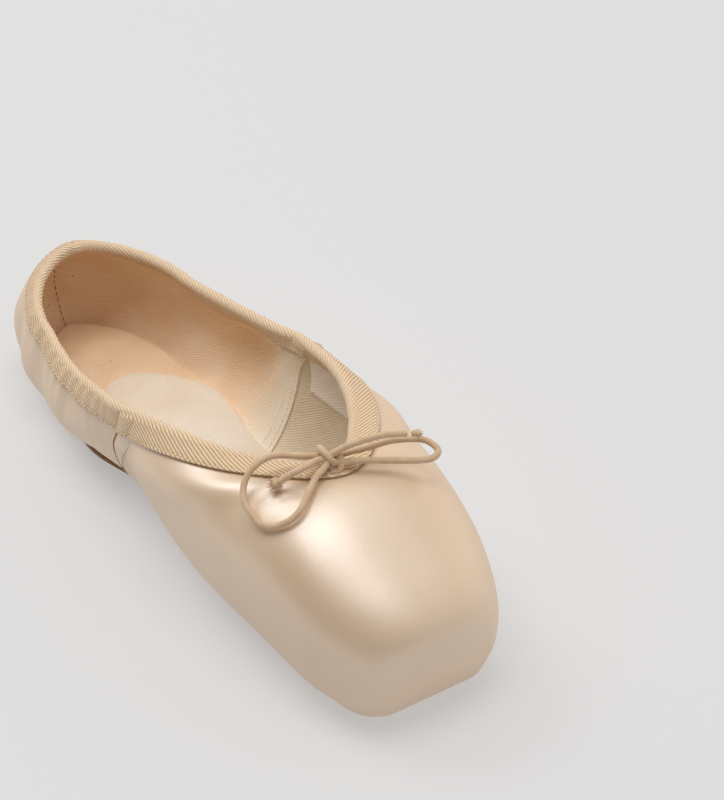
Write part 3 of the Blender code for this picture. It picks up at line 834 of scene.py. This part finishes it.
def close_toe(layers, uv, rings):
    """Adds rings that close both layers over the platform, with a slight dome."""
    shares = 1 - np.arange(1, rings + 1)[:, None, None] / rings
    dome = np.array([0, -PLATFORM_DOME, 0])
    closed = []
    for layer in layers:
        rim = layer[-1]
        middle = np.array([0, (rim[0, 1] + rim[-1, 1]) / 2, (rim[0, 2] + rim[-1, 2]) / 2])
        caps = middle + (rim - middle) * shares + dome * (1 - shares**2)
        closed.append(np.concatenate([layer, caps]))
    flat = closed[0][-rings:]
    uv = np.concatenate([uv, np.stack([LENGTH + flat[-1, 0, 2] - flat[..., 2], flat[..., 0]], -1)])
    start = len(uv) - rings - TOE_ROWS
    tables = [soften_toe(np.concatenate([layer, uv], -1), start) for layer in closed]
    return [table[..., :3] for table in tables], tables[0][..., 3:]


def grid_faces(rows, columns, first, flip):
    """Faces of a grid of points that runs along its columns first."""
    i, j = np.meshgrid(np.arange(rows - 1), np.arange(columns - 1), indexing="ij")
    a = first + i * columns + j
    faces = np.stack([a, a + 1, a + columns + 1, a + columns], -1).reshape(-1, 4)
    return faces[:, ::-1] if flip else faces


def rim_faces(rows, columns, first):
    """Faces that join the rims of two grids, one after the other."""
    line = np.concatenate([
        np.arange(rows - 1) * columns,
        (rows - 1) * columns + np.arange(columns - 1),
        (rows - 1) * columns + columns - 1 - np.arange(rows - 1) * columns,
        columns - 1 - np.arange(columns - 1),
    ]) + first
    ahead = np.roll(line, -1)
    back = rows * columns
    return np.stack([line, ahead, ahead + back, line + back], -1)


def cloth_panel(name, sides, materials, closed_toe):
    """Panel of both sides with an outer and an inner layer, joined at its rims and welded at the middle."""
    points, uvs, faces, kinds = [], [], [], []
    first = 0
    for layers, uv in sides:
        m, n = layers[0].shape[:2]
        outer = grid_faces(m, n, first, False)
        inner = grid_faces(m, n, first + m * n, False)
        rims = rim_faces(m, n, first)
        if closed_toe:
            rims = np.concatenate([rims[:m - 1], rims[m + n - 2:]])
        faces += [outer, inner, rims]
        kinds += [np.zeros(len(outer), int), np.ones(len(inner), int), np.zeros(len(rims), int)]
        points += [layer.reshape(-1, 3) for layer in layers]
        uvs += [uv.reshape(-1, 2)] * 2
        first += 2 * m * n
    piece = mesh_piece(name, np.concatenate(points), np.concatenate(faces), materials,
                       np.concatenate(uvs), np.concatenate(kinds))
    weld(piece)
    return piece


def satin_finish():
    """Heavy satin: long floats of fine yarn that give a broad soft gleam, with a very fine slanting rib.
    The rib is drawn 0.7 mm apart, coarser than the real yarn, so that it shows."""
    material, shader = new_material("satin", 0.40, 1.0, 0.06)
    coords = add(material, "ShaderNodeTexCoord")
    yarn = stripes(material, coords, 58, 449.0, 1.5, 1.5)
    slub = noise(material, coords, 1100.0, 4.0)
    cloud = noise(material, coords, 24.0, 3.0)
    colour = ramp(material, cloud, ((0.30, "#E0BD96"), (0.70, "#E9CAA4")))
    grain = calculate(material, "MULTIPLY_ADD", yarn, 0.25, slub)
    shader.inputs["Sheen Tint"].default_value = linear("#FFE8D0")
    shader.inputs["IOR"].default_value = 2.15
    return dress(material, shader, colour, grain, 0.28, 0.00010)


def drill_finish(name, light, dark, specks, pale=(1.0, 2.0)):
    """Cotton drill: slanting ribs of dull thread, 0.9 mm apart, with a few dark seed specks.
    Between two places along its map it fades to a paler colour, painted light; before them its colours are
    the same cloth in painted shade."""
    material, shader = new_material(name, 0.9, 0.2, 0.0)
    coords = add(material, "ShaderNodeTexCoord")
    rib = stripes(material, coords, -120, 349.0, 1.2, 2.0)
    thread = noise(material, coords, 1500.0, 3.0)
    cloud = noise(material, coords, 45.0, 4.0)
    tone = calculate(material, "MULTIPLY_ADD", rib, 0.22, cloud)
    base = ramp(material, tone, ((0.35, dark), (0.95, light)))
    place = add(material, "ShaderNodeSeparateXYZ", Vector=coords.outputs["UV"])
    # Painted light and shade: darker colours behind the first place, the paler lit colour after the second.
    fade = add(material, "ShaderNodeMapRange", i0=place.outputs["X"], i1=pale[0], i2=pale[1])
    base = mix_colour(material, fade.outputs[0], base, "#EFE3CF")
    cells = add(material, "ShaderNodeTexVoronoi", Vector=coords.outputs["Object"], Scale=190.0)
    near = calculate(material, "LESS_THAN", cells.outputs["Distance"], 0.055)
    chance = add(material, "ShaderNodeSeparateColor", Color=cells.outputs["Color"])
    kept = calculate(material, "LESS_THAN", chance.outputs["Red"], specks)
    mark = calculate(material, "MULTIPLY", near, kept)
    faint = calculate(material, "MULTIPLY", mark, 0.7)
    colour = mix_colour(material, faint, base, "#7A4A30")
    grain = calculate(material, "MULTIPLY_ADD", thread, 0.5, rib)
    return dress(material, shader, colour, grain, 0.4, 0.00018)


def quarter_stations():
    """Stations of the quarters, from the heel to the edge of their lining."""
    return np.concatenate([np.linspace(0, HEEL_FAN, 72), np.linspace(HEEL_FAN, SIDE_SEAM + 0.01, 120)[1:]])


def vamp_stations():
    """Stations of the vamp, closest together where the throat closes and round the toe."""
    turns = np.linspace(0, RIGHT_ANGLE, 30)
    parts = [
        np.linspace(SIDE_SEAM, THROAT - 0.06, 80),
        THROAT - 0.06 + 0.06 * np.sin(turns),
        SOLE_NOSE + (OPENING_FRONT - SOLE_NOSE) * np.sin(turns),
        np.linspace(OPENING_FRONT, TOE_ROUND, 30),
        np.linspace(TOE_ROUND, 1, 30),
    ]
    return np.unique(np.round(np.concatenate(parts), 6))


def make_upper():
    """Quarters and vamp, each with its lining."""

    def flush(station, level):
        return 0.0

    def under_vamp(station, level):
        behind = (vamp_edge_at(np.clip(level, 1, 3)) - station) * LENGTH
        return -SEAM_GROOVE * bump(behind, 0, 0.0010) * ease(level, 1.0, 1.4)

    def over_vamp_lining(station, level):
        start = lining_edge_at(np.clip(level, 1, 3)) - 0.05
        return LINING_LAP * ease(station, start, start + 0.03)

    def over_quarters(station, level):
        return VAMP_LAP * ease(level, 1.0, 1.4) + seam_leaf(station, level)

    rear = quarter_stations()
    front = vamp_stations()
    sides = [cloth_side(rear, CLOTH_ROWS, side, rear[-1], lining_edge_at, under_vamp, over_vamp_lining)
             for side in (1, -1)]
    rear_panel = cloth_panel("quarters", sides, [satin, quarter_lining], False)
    sides = []
    for side in (1, -1):
        layers, uv = cloth_side(front, CLOTH_ROWS, side, SIDE_SEAM, vamp_edge_at, over_quarters, flush)
        sides.append(close_toe(layers, uv, TOE_RINGS))
    front_panel = cloth_panel("vamp", sides, [satin, vamp_lining], True)
    for piece in (rear_panel, front_panel):
        ride(piece, "satin", "upper")
    return rear_panel, front_panel


satin = satin_finish()
# The quarters' lining is painted darker and more tan at the heel, as shade in its hollow, and paler from 80
# to 104 mm on.
quarter_lining = drill_finish("cotton_drill", "#FBE4CA", "#E7C299", 0.45, (0.080, 0.104))
vamp_lining = drill_finish("cotton_canvas", "#F0E2CC", "#D3C2A6", 0.2)
cloth_panels = make_upper()


# Label
# A bare woven cotton label, sewn to the vamp's lining beside the side seam on the far side.
LABEL_STATIONS = (0.487, 0.600)
LABEL_LEVELS = (1.83, 2.85)
LABEL_RISE = 0.00035


def make_label():
    """Thin patch that follows the lining."""
    rows, columns = 40, 30
    station, level = np.meshgrid(np.linspace(*LABEL_STATIONS, rows), np.linspace(*LABEL_LEVELS, columns),
                                 indexing="ij")
    depth = wall(station)[..., None]
    front = skin_line(1, station, level, -depth - LABEL_RISE)
    back = skin_line(1, station, level, -depth + LABEL_RISE / 2)
    points = np.concatenate([front.reshape(-1, 3), back.reshape(-1, 3)])
    faces = np.concatenate([
        grid_faces(rows, columns, 0, False),
        grid_faces(rows, columns, rows * columns, True),
        rim_faces(rows, columns, 0),
    ])
    along = run_lengths(front[0])
    uv = np.stack([station * LENGTH, np.broadcast_to(along, station.shape)], -1).reshape(-1, 2)
    label = mesh_piece("label", points, faces, [label_cloth], np.concatenate([uv, uv]))
    weld(label)
    ride(label, "insole_cotton")


label_cloth = drill_finish("label_cotton", "#FBF5EC", "#F3E9DC", 0.05)
make_label()


# Binding
# Cotton twill tape folded over the collar's edge and round its drawstring, from the back of the heel round
# the throat and back. Its slanting ribs cross the fold, and a row of stitches holds both legs.
TAPE_THICKNESS = 0.0008
TAPE_CLEARANCE = 0.0004
TAPE_OUTER = (0.0046, 0.0071)
TAPE_RUN = (0.20, 0.50)
TAPE_INNER = 0.0042
TAPE_STEP = 0.0006
TAPE_SEAM = 0.0010
OUTER_ROWS = 24
INNER_ROWS = 14
SEAM_ROWS = 3
FOLD_ROWS = 11
RAY_START = 0.005


def collar_table():
    """Even places round the collar, and for each its edge point, outward and downward direction and
    station, in ten columns. They run down the near side from the heel and back up the far side."""
    turns = np.linspace(0, RIGHT_ANGLE, 260)
    stations = np.concatenate([
        np.linspace(0, THROAT - 0.08, 500),
        THROAT - 0.08 + 0.08 * np.sin(turns)[1:],
    ])
    full = np.ones(len(stations))
    edge = bare_skin(stations, edge_turn(stations), full)
    normal = outward(stations, edge_turn(stations), full)
    ahead = np.gradient(edge, axis=0)
    ahead[0] = (1, 0, 0)
    ahead[-1] = (-1, 0, 0)
    normal[[0, -1], 0] = 0
    down = np.cross(normal, ahead)
    down /= np.linalg.norm(down, axis=1, keepdims=True)
    far = np.column_stack([edge, normal, down, stations])
    near = far * np.array([-1, 1, 1] * 3 + [1])
    both = np.concatenate([near, far[::-1][1:]])
    along = run_lengths(both[:, :3])
    places = np.linspace(0, along[-1], round(along[-1] / TAPE_STEP) + 1)
    return places, columns_at(places, along, both)


def surface_point(trees, start, way):
    """First point of the cloth met from a start."""
    hits = [tree.ray_cast(Vector(start), Vector(way), 2.5 * RAY_START) for tree in trees]
    hits = [hit for hit in hits if hit[0] is not None]
    return np.array(min(hits, key=lambda hit: hit[3])[0]) if hits else None


def tape_section(edge, normal, down, station, swell, trees):
    """Front and hidden rows of the tape at one place. Front rows are a point of the cloth, a direction, a
    height and the distance from the top of the fold, positive outside."""
    depth = float(wall(station))
    reach = depth / 2 + TAPE_CLEARANCE + TAPE_THICKNESS
    middle = edge - normal * depth / 2
    rows, hidden = [], []
    outer = TAPE_OUTER[0] + (TAPE_OUTER[1] - TAPE_OUTER[0]) * ease(station, *TAPE_RUN)
    for sign, leg, count in ((1, outer, OUTER_ROWS), (-1, TAPE_INNER, INNER_ROWS)):
        distances = np.linspace(0.0006, leg, count)
        cloth = []
        for distance in distances:
            plain = edge + down * distance - (normal * depth if sign < 0 else 0)
            found = surface_point(trees, plain + normal * sign * RAY_START, -normal * sign)
            cloth.append(plain if found is None else found)
        legs = []
        for place, distance in zip(cloth, distances):
            pull = 0.00018 * bump(distance, leg - TAPE_SEAM, 0.0006) if sign > 0 else 0
            rise = TAPE_CLEARANCE + TAPE_THICKNESS * (0.7 if distance == leg else 1) - pull
            legs.append((place, normal * sign, rise, sign * (distance + reach * RIGHT_ANGLE)))
        back = [cloth[k] + normal * sign * TAPE_CLEARANCE for k in (0, len(cloth) // 2, -1)]
        if sign > 0:
            rows += legs[::-1]
            for turn in np.linspace(0, math.pi, FOLD_ROWS):
                way = normal * math.cos(turn) - down * math.sin(turn)
                rise = reach * (1 + swell * math.sin(turn))
                rows.append((middle, way, rise, reach * (RIGHT_ANGLE - turn)))
            hidden = [middle - down * (depth / 2 + TAPE_CLEARANCE)] + back
        else:
            rows += legs
            hidden = back[::-1] + hidden
    return rows, hidden


def make_binding():
    """Tape folded over the collar's edge. Returns the lines of its two rows of stitches, and its directions
    and outer points at the middle of the throat."""
    trees = [
        BVHTree.FromPolygons([vert.co for vert in piece.data.vertices],
                             [face.vertices[:] for face in piece.data.polygons])
        for piece in cloth_panels
    ]
    places, table = collar_table()
    length = places[-1]
    rings, uv = [], []
    for place, row in zip(places, table):
        edge, normal, down = row[:3], row[3:6], row[6:9]
        normal = normal / np.linalg.norm(normal)
        down = down / np.linalg.norm(down)
        lap = 2 * math.pi * place / length
        swell = 0.05 * math.sin(90 * lap) + 0.04 * math.sin(33 * lap)
        rows, hidden = tape_section(edge, normal, down, row[9], swell, trees)
        rings.append(np.array([spot + way * rise for spot, way, rise, _ in rows] + hidden))
        uv += [(place, row_place) for _, _, _, row_place in rows] + [(place, 0.0)] * len(hidden)
    rings = np.array(rings)
    rings[[0, -1], :, 0] = 0
    m, n = rings.shape[:2]
    i, j = np.meshgrid(np.arange(m - 1), np.arange(n), indexing="ij")
    a, b = i * n + j, i * n + (j + 1) % n
    faces = np.stack([a, a + n, b + n, b], -1).reshape(-1, 4)
    tape = mesh_piece("twill_tape", rings.reshape(-1, 3), faces, [twill], uv)
    weld(tape)
    ride(tape, "binding_twill", "binding")
    throat = m // 2
    inner_seam = OUTER_ROWS + FOLD_ROWS + INNER_ROWS - SEAM_ROWS
    return rings[:, SEAM_ROWS], rings[:, inner_seam], table[throat], rings[throat, :OUTER_ROWS]


def twill_finish():
    """Cotton twill tape: thick dull ribs, cream, with brown painted shade in their grooves, a painted
    highlight along the fold's ridge and fine fibres. The ribs lie 1 mm apart and cross the tape at 32
    degrees to its length."""
    material, shader = new_material("twill_tape", 0.7, 0.4, 0.2)
    coords = add(material, "ShaderNodeTexCoord")
    rib = stripes(material, coords, 58, 314.0, 0.5, 1.0)
    fibre = noise(material, coords, 1500.0, 4.0)
    place = add(material, "ShaderNodeSeparateXYZ", Vector=coords.outputs["UV"])
    distance = calculate(material, "ABSOLUTE", place.outputs["Y"])
    # Painted highlight: the tape is made lighter towards the ridge of its fold.
    ridge_highlight = add(material, "ShaderNodeMapRange", i0=distance, i1=0.0010, i2=0.0034, i3=0.35, i4=0.0)
    tone = calculate(material, "MULTIPLY_ADD", fibre, 0.35, rib)
    tone = calculate(material, "ADD", tone, ridge_highlight.outputs[0])
    # The brown end of the ramp, in the ribs' grooves, is painted shade.
    colour = ramp(material, tone, ((0.15, "#C29B70"), (0.50, "#DDBB93"), (0.95, "#F1D9B9")))
    height = calculate(material, "MULTIPLY_ADD", fibre, 0.2, rib)
    return dress(material, shader, colour, height, 0.8, 0.00022)


twill = twill_finish()
tape_seam_outside, tape_seam_inside, throat_frame, throat_rows = make_binding()


# Stitches
# Cotton thread in even lock stitches, with a needle hole between each two, drawn as a dark dot of painted
# shade: along the tape, the side seams, the lining's lap and the seam at the back of the heel.
STITCH_PITCH = 0.0021
THREAD_WIDTH = 0.00034
# Radius of the tube of painted shade along each vamp's rear edge
SEAM_SHADE_RADIUS = 0.00028


def stitch_tree():
    """Geometry nodes that lay one small rounded stitch at each pitch along a line."""
    tree = bpy.data.node_groups.new("stitch_row", "GeometryNodeTree")
    tree.interface.new_socket(name="Geometry", in_out="INPUT", socket_type="NodeSocketGeometry")
    for name in ("Pitch", "Length", "Width"):
        tree.interface.new_socket(name=name, in_out="INPUT", socket_type="NodeSocketFloat")
    tree.interface.new_socket(name="Material", in_out="INPUT", socket_type="NodeSocketMaterial")
    tree.interface.new_socket(name="Geometry", in_out="OUTPUT", socket_type="NodeSocketGeometry")
    kinds = {
        "start": "NodeGroupInput",
        "curve": "GeometryNodeMeshToCurve",
        "resample": "GeometryNodeResampleCurve",
        "ball": "GeometryNodeMeshUVSphere",
        "size": "ShaderNodeCombineXYZ",
        "tangent": "GeometryNodeInputTangent",
        "align": "FunctionNodeAlignRotationToVector",
        "place": "GeometryNodeInstanceOnPoints",
        "real": "GeometryNodeRealizeInstances",
        "finish": "GeometryNodeSetMaterial",
        "end": "NodeGroupOutput",
    }
    nodes = {name: tree.nodes.new(kind) for name, kind in kinds.items()}
    nodes["resample"].mode = "LENGTH"
    nodes["align"].axis = "X"
    nodes["ball"].inputs["Segments"].default_value = 8
    nodes["ball"].inputs["Rings"].default_value = 5
    nodes["ball"].inputs["Radius"].default_value = 0.5
    for source, output, target, socket in (
        ("start", "Geometry", "curve", "Mesh"),
        ("curve", "Curve", "resample", "Curve"),
        ("start", "Pitch", "resample", "Length"),
        ("start", "Length", "size", "X"),
        ("start", "Width", "size", "Y"),
        ("start", "Width", "size", "Z"),
        ("tangent", "Tangent", "align", "Vector"),
        ("resample", "Curve", "place", "Points"),
        ("ball", "Mesh", "place", "Instance"),
        ("align", "Rotation", "place", "Rotation"),
        ("size", "Vector", "place", "Scale"),
        ("place", "Instances", "real", "Geometry"),
        ("real", "Geometry", "finish", "Geometry"),
        ("start", "Material", "finish", "Material"),
        ("finish", "Geometry", "end", "Geometry"),
    ):
        tree.links.new(nodes[source].outputs[output], nodes[target].inputs[socket])
    return tree


def stitch_row(name, line, pitch, length, width, material):
    """One row of stitches along a line of points."""
    mesh = bpy.data.meshes.new(name)
    mesh.from_pydata(np.asarray(line).tolist(), [(k, k + 1) for k in range(len(line) - 1)], [])
    row = bpy.data.objects.new(name, mesh)
    bpy.context.scene.collection.objects.link(row)
    modifier = row.modifiers.new("stitches", "NODES")
    modifier.node_group = stitches
    values = {"Pitch": pitch, "Length": length, "Width": width, "Material": material}
    for item in stitches.interface.items_tree:
        if item.in_out == "INPUT" and item.name in values:
            modifier[item.identifier] = values[item.name]
    bpy.context.view_layer.update()
    graph = bpy.context.evaluated_depsgraph_get()
    baked = bpy.data.meshes.new_from_object(row.evaluated_get(graph), depsgraph=graph)
    row.modifiers.clear()
    row.data = baked
    baked.shade_smooth()
    return row


def sewn_row(name, line, slot, pitch, width, material):
    """Threads of a row, and dots of painted shade for the needle holes between them."""
    step = pitch / 4
    line = evenly(np.asarray(line), step)
    threads = stitch_row(name, line, pitch, pitch * 0.72, width, material)
    # Painted shade: the needle holes are small dark brown dots between the threads.
    holes = stitch_row(name + "_holes", line[2:], pitch, width, width * 0.9, needle_hole_shade)
    ride(join(name, [threads, holes]), slot)


def thread_finish(name, light, dark):
    """Cotton thread: dull, with fine fibres."""
    material, shader = new_material(name, 0.8, 0.3, 0.1)
    coords = add(material, "ShaderNodeTexCoord")
    fibre = noise(material, coords, 2200.0, 3.0)
    colour = ramp(material, fibre, ((0.3, dark), (0.7, light)))
    return dress(material, shader, colour, fibre, 0.1, 0.0001)


def make_stitches():
    """All rows of stitches, and the lines of painted shade along the vamp's rear edges."""
    sewn_row("tape_stitches", tape_seam_outside, "binding_twill", STITCH_PITCH, THREAD_WIDTH, thread)
    sewn_row("tape_stitches_inside", tape_seam_inside, "binding_twill", STITCH_PITCH, THREAD_WIDTH, thread)
    outer_levels = np.linspace(1.55, 2.66, 40)
    inner_levels = np.linspace(1.12, 2.75, 40)
    inside = -QUARTER_WALL - LINING_LAP
    for side, label in ((-1, "near"), (1, "far")):
        line = skin_line(side, vamp_row_at(outer_levels), outer_levels, VAMP_LAP)
        sewn_row("side_seam_" + label, line, "satin", 0.0017, 0.00028, thread)
        for k, gap in enumerate((0.008, 0.022)):
            line = skin_line(side, lining_edge_at(inner_levels) - gap, inner_levels, inside)
            sewn_row(f"lining_seam_{label}_{k + 1}", line, "insole_cotton", 0.0020, 0.00026, thread)
        # Painted shade: a thin dark brown tube along each vamp's rear edge stands in for the shade of its
        # lap.
        line = skin_line(side, vamp_edge_at(outer_levels) - 0.001, outer_levels, VAMP_LAP)
        ride(tube("seam_shade_line_" + label, line, SEAM_SHADE_RADIUS, 8, seam_shade), "satin")
    middle = np.zeros(40)
    line = skin_line(1, middle, inner_levels, -QUARTER_WALL - 0.00005)
    sewn_row("back_seam_inside", line, "insole_cotton", 0.0022, 0.00030, dark_thread_and_slot_shade)
    line = skin_line(1, middle, np.linspace(1.1, 2.66, 40), -0.00012)
    sewn_row("back_seam", line, "satin", 0.0017, 0.00022, thread)


SLOT_PLACE = np.array((0.5, -2.93, -2.7))
SLOT_SIZE = (0.0016, 0.0011)
SLOT_THREADS = 18


def make_slot():
    """Worked edge of the slot for the drawstring: short threads round a dark ring of painted shade in its
    gap.
    """
    normal = throat_frame[3:6] / np.linalg.norm(throat_frame[3:6])
    down = throat_frame[6:9] / np.linalg.norm(throat_frame[6:9])
    across = np.cross(normal, down)
    spot = KNOT_MIDDLE + SLOT_PLACE * MILLIMETRE
    heights = throat_rows @ normal
    middle = spot + normal * (np.interp(-(spot @ down), -(throat_rows @ down), heights) - spot @ normal)
    pieces = []
    for k in range(SLOT_THREADS):
        turn = 2 * math.pi * k / SLOT_THREADS
        way = across * SLOT_SIZE[0] * math.cos(turn) + down * SLOT_SIZE[1] * math.sin(turn)
        line = np.array([middle + way * share + normal * lift for share, lift in
                         ((0.45, -0.0001), (0.65, 0.0003), (1.0, 0.0003), (1.25, -0.0001))])
        pieces.append(tube(f"slot_thread_{k}", line, 0.00019, 6, thread))
    # Painted shade: a dark ring in the slot's gap, in the dark thread's material.
    turns = np.linspace(0, 2 * math.pi, 25)[:, None]
    oval = across * SLOT_SIZE[0] * np.cos(turns) + down * SLOT_SIZE[1] * np.sin(turns)
    rim = middle + normal * 0.00012 + oval * 0.4
    pieces.append(tube("slot_gap_shade", rim, 0.0004, 8, dark_thread_and_slot_shade, closed=True))
    ride(join("slot_edge", pieces), "binding_twill")


stitches = stitch_tree()
thread = thread_finish("cotton_thread", "#F1DFC2", "#D3B48A")
# Dark thread of the back seam inside; also used as the painted shade in the drawstring slot's gap.
dark_thread_and_slot_shade = thread_finish("dark_thread_and_slot_shade", "#8A5E3C", "#6B452B")
# Painted shade of the needle holes, dark brown.
needle_hole_shade = thread_finish("needle_hole_shade", "#8A6440", "#6E4C2E")
# Painted shade for the line along the vamp's rear edges, with a thread's finish.
seam_shade = thread_finish("seam_shade", "#B48A62", "#977049")
make_stitches()
make_slot()


# Sole, insole and sock
# A pear-shaped leather sole with a skived edge, which ends behind the toe's pleats. Inside lie the insole
# board, covered in drill, and a pale woven sock that is round at its rear end.
SOLE_EDGE = ((0.00, 0.95), (0.20, 1.00), (0.35, 1.11), (0.50, 0.95), (0.70, 0.92), (0.90, 0.90))
INSOLE_FRONT = 0.93
INSOLE_NOSE = 0.84
INSOLE_THICKNESS = 0.0018
SOCK_THICKNESS = 0.0010
SOCK_BACK = 0.205
SOCK_TAIL = 0.34
SOCK_MARGIN = 0.0006
FLAT_START = 0.003

# The skive of a flat piece's lower edge and the rounding of its upper edge
SOLE_CORNERS = (0.0007, 0.0003)
BOARD_CORNERS = (0.0004, 0.0005)
SOCK_CORNERS = (0.0003, 0.0004)
sole_edge_at = smooth_curve(*zip(*SOLE_EDGE))


def nose(station, start, front):
    """Share of the width left where a flat piece closes in a round end."""
    along = np.clip((station - start) / (front - start), 0, 1)
    return np.sqrt(np.maximum(1 - along**2, 0))


def flat_stations(tail, nose_start, front):
    """Stations of a flat piece, closest together at its round ends. The tail is None or a pair."""
    closing = np.sin(np.linspace(0, RIGHT_ANGLE, 40))[:-1]
    start = tail[0] if tail else HEEL_FAN
    rear = tail[0] - (tail[0] - tail[1]) * closing if tail else np.linspace(FLAT_START, HEEL_FAN, 40)
    parts = [rear, np.linspace(start, nose_start, 70), nose_start + (front - nose_start) * closing]
    return np.unique(np.round(np.concatenate(parts), 6))


def plate(name, stations, shares, bottom, thickness, skive, rounding, material):
    """Flat piece between mirrored outlines at shares of the bottom's width, with a skived lower edge."""
    outline = bare_skin(stations, np.full(len(stations), -RIGHT_ANGLE), np.minimum(shares, 0.9999))
    rings = []
    widened = outline * np.stack([np.maximum(shares, 1), 1 + 0 * shares, 1 + 0 * shares], 1)
    for (x, y, _), low in zip(widened, bottom):
        arcs = np.linspace(0, RIGHT_ANGLE, 5)
        lower = np.linspace(0, max(x - skive, 0), 5)
        corner = np.maximum(x - rounding * (1 - np.cos(arcs)), 0)
        upper = np.linspace(corner[-1], 0, 9)[1:]
        outs = np.concatenate([lower, [x], corner, upper])
        rounded = thickness - rounding * (1 - np.sin(arcs))
        ups = np.concatenate([0 * lower, [skive], rounded, 0 * upper + thickness])
        right = np.stack([outs, 0 * outs + y, ups + low], 1)
        rings.append(np.concatenate([right, right[-2:0:-1] * np.array([-1, 1, 1])]))
    rings = np.array(rings)
    m, n = rings.shape[:2]
    i, j = np.meshgrid(np.arange(m - 1), np.arange(n), indexing="ij")
    a, b = i * n + j, i * n + (j + 1) % n
    faces = np.stack([a, b, b + n, a + n], -1).reshape(-1, 4).tolist()
    faces += [list(range(n)), list(range((m - 1) * n, m * n))]
    flat = rings.reshape(-1, 3)
    piece = mesh_piece(name, flat, faces, [material], flat[:, :2])
    weld(piece)
    piece.data.set_sharp_from_angle(angle=math.radians(50))
    return piece


def inside_share(station):
    """Share of the bottom's width at which a flat piece inside the shoe meets the wall beside it."""
    half = feather_at(station) * half_width_at(np.maximum(station, HEEL_FAN))
    return 1 - (wall(station) + CLEARANCE) / half


def leather_finish():
    """Split leather: matt brown with a fine nap and darker, burnished patches."""
    material, shader = new_material("split_leather", 0.7, 0.35, 0.1)
    coords = add(material, "ShaderNodeTexCoord")
    nap = noise(material, coords, 700.0, 6.0)
    patch = noise(material, coords, 60.0, 5.0)
    tone = calculate(material, "MULTIPLY_ADD", nap, 0.4, patch)
    colour = ramp(material, tone, ((0.45, "#6A4526"), (0.90, "#9A6E44")))
    return dress(material, shader, colour, nap, 0.35, 0.0002)


def make_soles():
    """Outsole, insole and sock."""
    places = flat_stations(None, SOLE_NOSE, SOLE_FRONT)
    sole = plate("sole", places, sole_edge_at(places) * nose(places, SOLE_NOSE, SOLE_FRONT),
                 underside(places) - CLEARANCE - SOLE_THICKNESS, SOLE_THICKNESS, *SOLE_CORNERS,
                 leather_finish())
    ride(sole, "sole_leather", "outsole")
    places = flat_stations(None, INSOLE_NOSE, INSOLE_FRONT)
    inside = underside(places) + wall(places) + CLEARANCE
    board = plate("insole_board", places, inside_share(places) * nose(places, INSOLE_NOSE, INSOLE_FRONT),
                  inside, INSOLE_THICKNESS, *BOARD_CORNERS, quarter_lining)
    ride(board, "insole_cotton", "insole")
    places = flat_stations((SOCK_TAIL, SOCK_BACK), INSOLE_NOSE, INSOLE_FRONT)
    margin = SOCK_MARGIN / (feather_at(places) * half_width_at(places))
    ends = nose(places, SOCK_TAIL, SOCK_BACK) * nose(places, INSOLE_NOSE, INSOLE_FRONT)
    inside = underside(places) + wall(places) + INSOLE_THICKNESS + 2 * CLEARANCE
    cloth = plate("sock_lining", places, (inside_share(places) - margin) * ends, inside, SOCK_THICKNESS,
                  *SOCK_CORNERS, sock_cloth)
    ride(cloth, "sock_cotton", "sock")


sock_cloth = drill_finish("sock_cotton", "#F3E7D7", "#E3D2BB", 0.15)
make_soles()


# Studio
# A pale floor of paper that glows a little, so that shadows stay faint. A large soft light hangs overhead,
# a second one behind, and a weaker warm one at the viewer's right. The sky is darker at the viewer's left.
FLOOR_SIZE = 24.0
DARK_SIDE = (-0.97, -0.20, 0.15)
DARK_SPAN = (0.1, 0.9)
SKY_LIGHT = (0.56, 0.15)


def make_studio():
    """Floor, lights and the pale surroundings."""
    paper, shader = new_material("lit_paper", 0.95, 0.0, 0.0)
    shader.inputs["Base Color"].default_value = linear("#A2A2A3")
    shader.inputs["Emission Color"].default_value = linear("#FFFFFF")
    shader.inputs["Emission Strength"].default_value = 0.39
    half = FLOOR_SIZE / 2
    corners = [(-half, -half, 0), (half, -half, 0), (half, half, 0), (-half, half, 0)]
    floor = mesh_piece("floor", corners, [(0, 1, 2, 3)], [paper])
    world = bpy.data.worlds.new("studio")
    world.use_nodes = True
    sky = world.node_tree.nodes["Background"]
    sky.inputs["Color"].default_value = linear("#F6F4F2")
    way = add(world, "ShaderNodeTexCoord")
    facing = add(world, "ShaderNodeVectorMath", {"operation": "DOT_PRODUCT"}, i0=way.outputs["Generated"],
                 i1=DARK_SIDE)
    strength = add(world, "ShaderNodeMapRange", i0=facing.outputs["Value"],
                   i1=DARK_SPAN[0], i2=DARK_SPAN[1], i3=SKY_LIGHT[0], i4=SKY_LIGHT[1])
    world.node_tree.links.new(strength.outputs[0], sky.inputs["Strength"])
    bpy.context.scene.world = world
    lights = (
        ("overhead", (-0.20, 0.05, 2.0), (1.0, 1.5), 18.0, "#FFFEFC"),
        ("rear", (-0.50, 1.25, 1.55), (0.8, 0.8), 9.0, "#FFFEFC"),
        ("side", (1.6, 0.2, 0.7), (1.4, 1.4), 3.0, "#FFE6D2"),
    )
    for name, place, size, power, colour in lights:
        data = bpy.data.lights.new(name, "AREA")
        data.shape = "RECTANGLE"
        data.size, data.size_y = size
        data.energy = power
        data.color = linear(colour)[:3]
        light = bpy.data.objects.new(name, data)
        light.location = place
        light.rotation_euler = Vector(place).to_track_quat("Z", "Y").to_euler()
        bpy.context.scene.collection.objects.link(light)
    bpy.context.scene.view_settings.view_transform = "Standard"


make_studio()
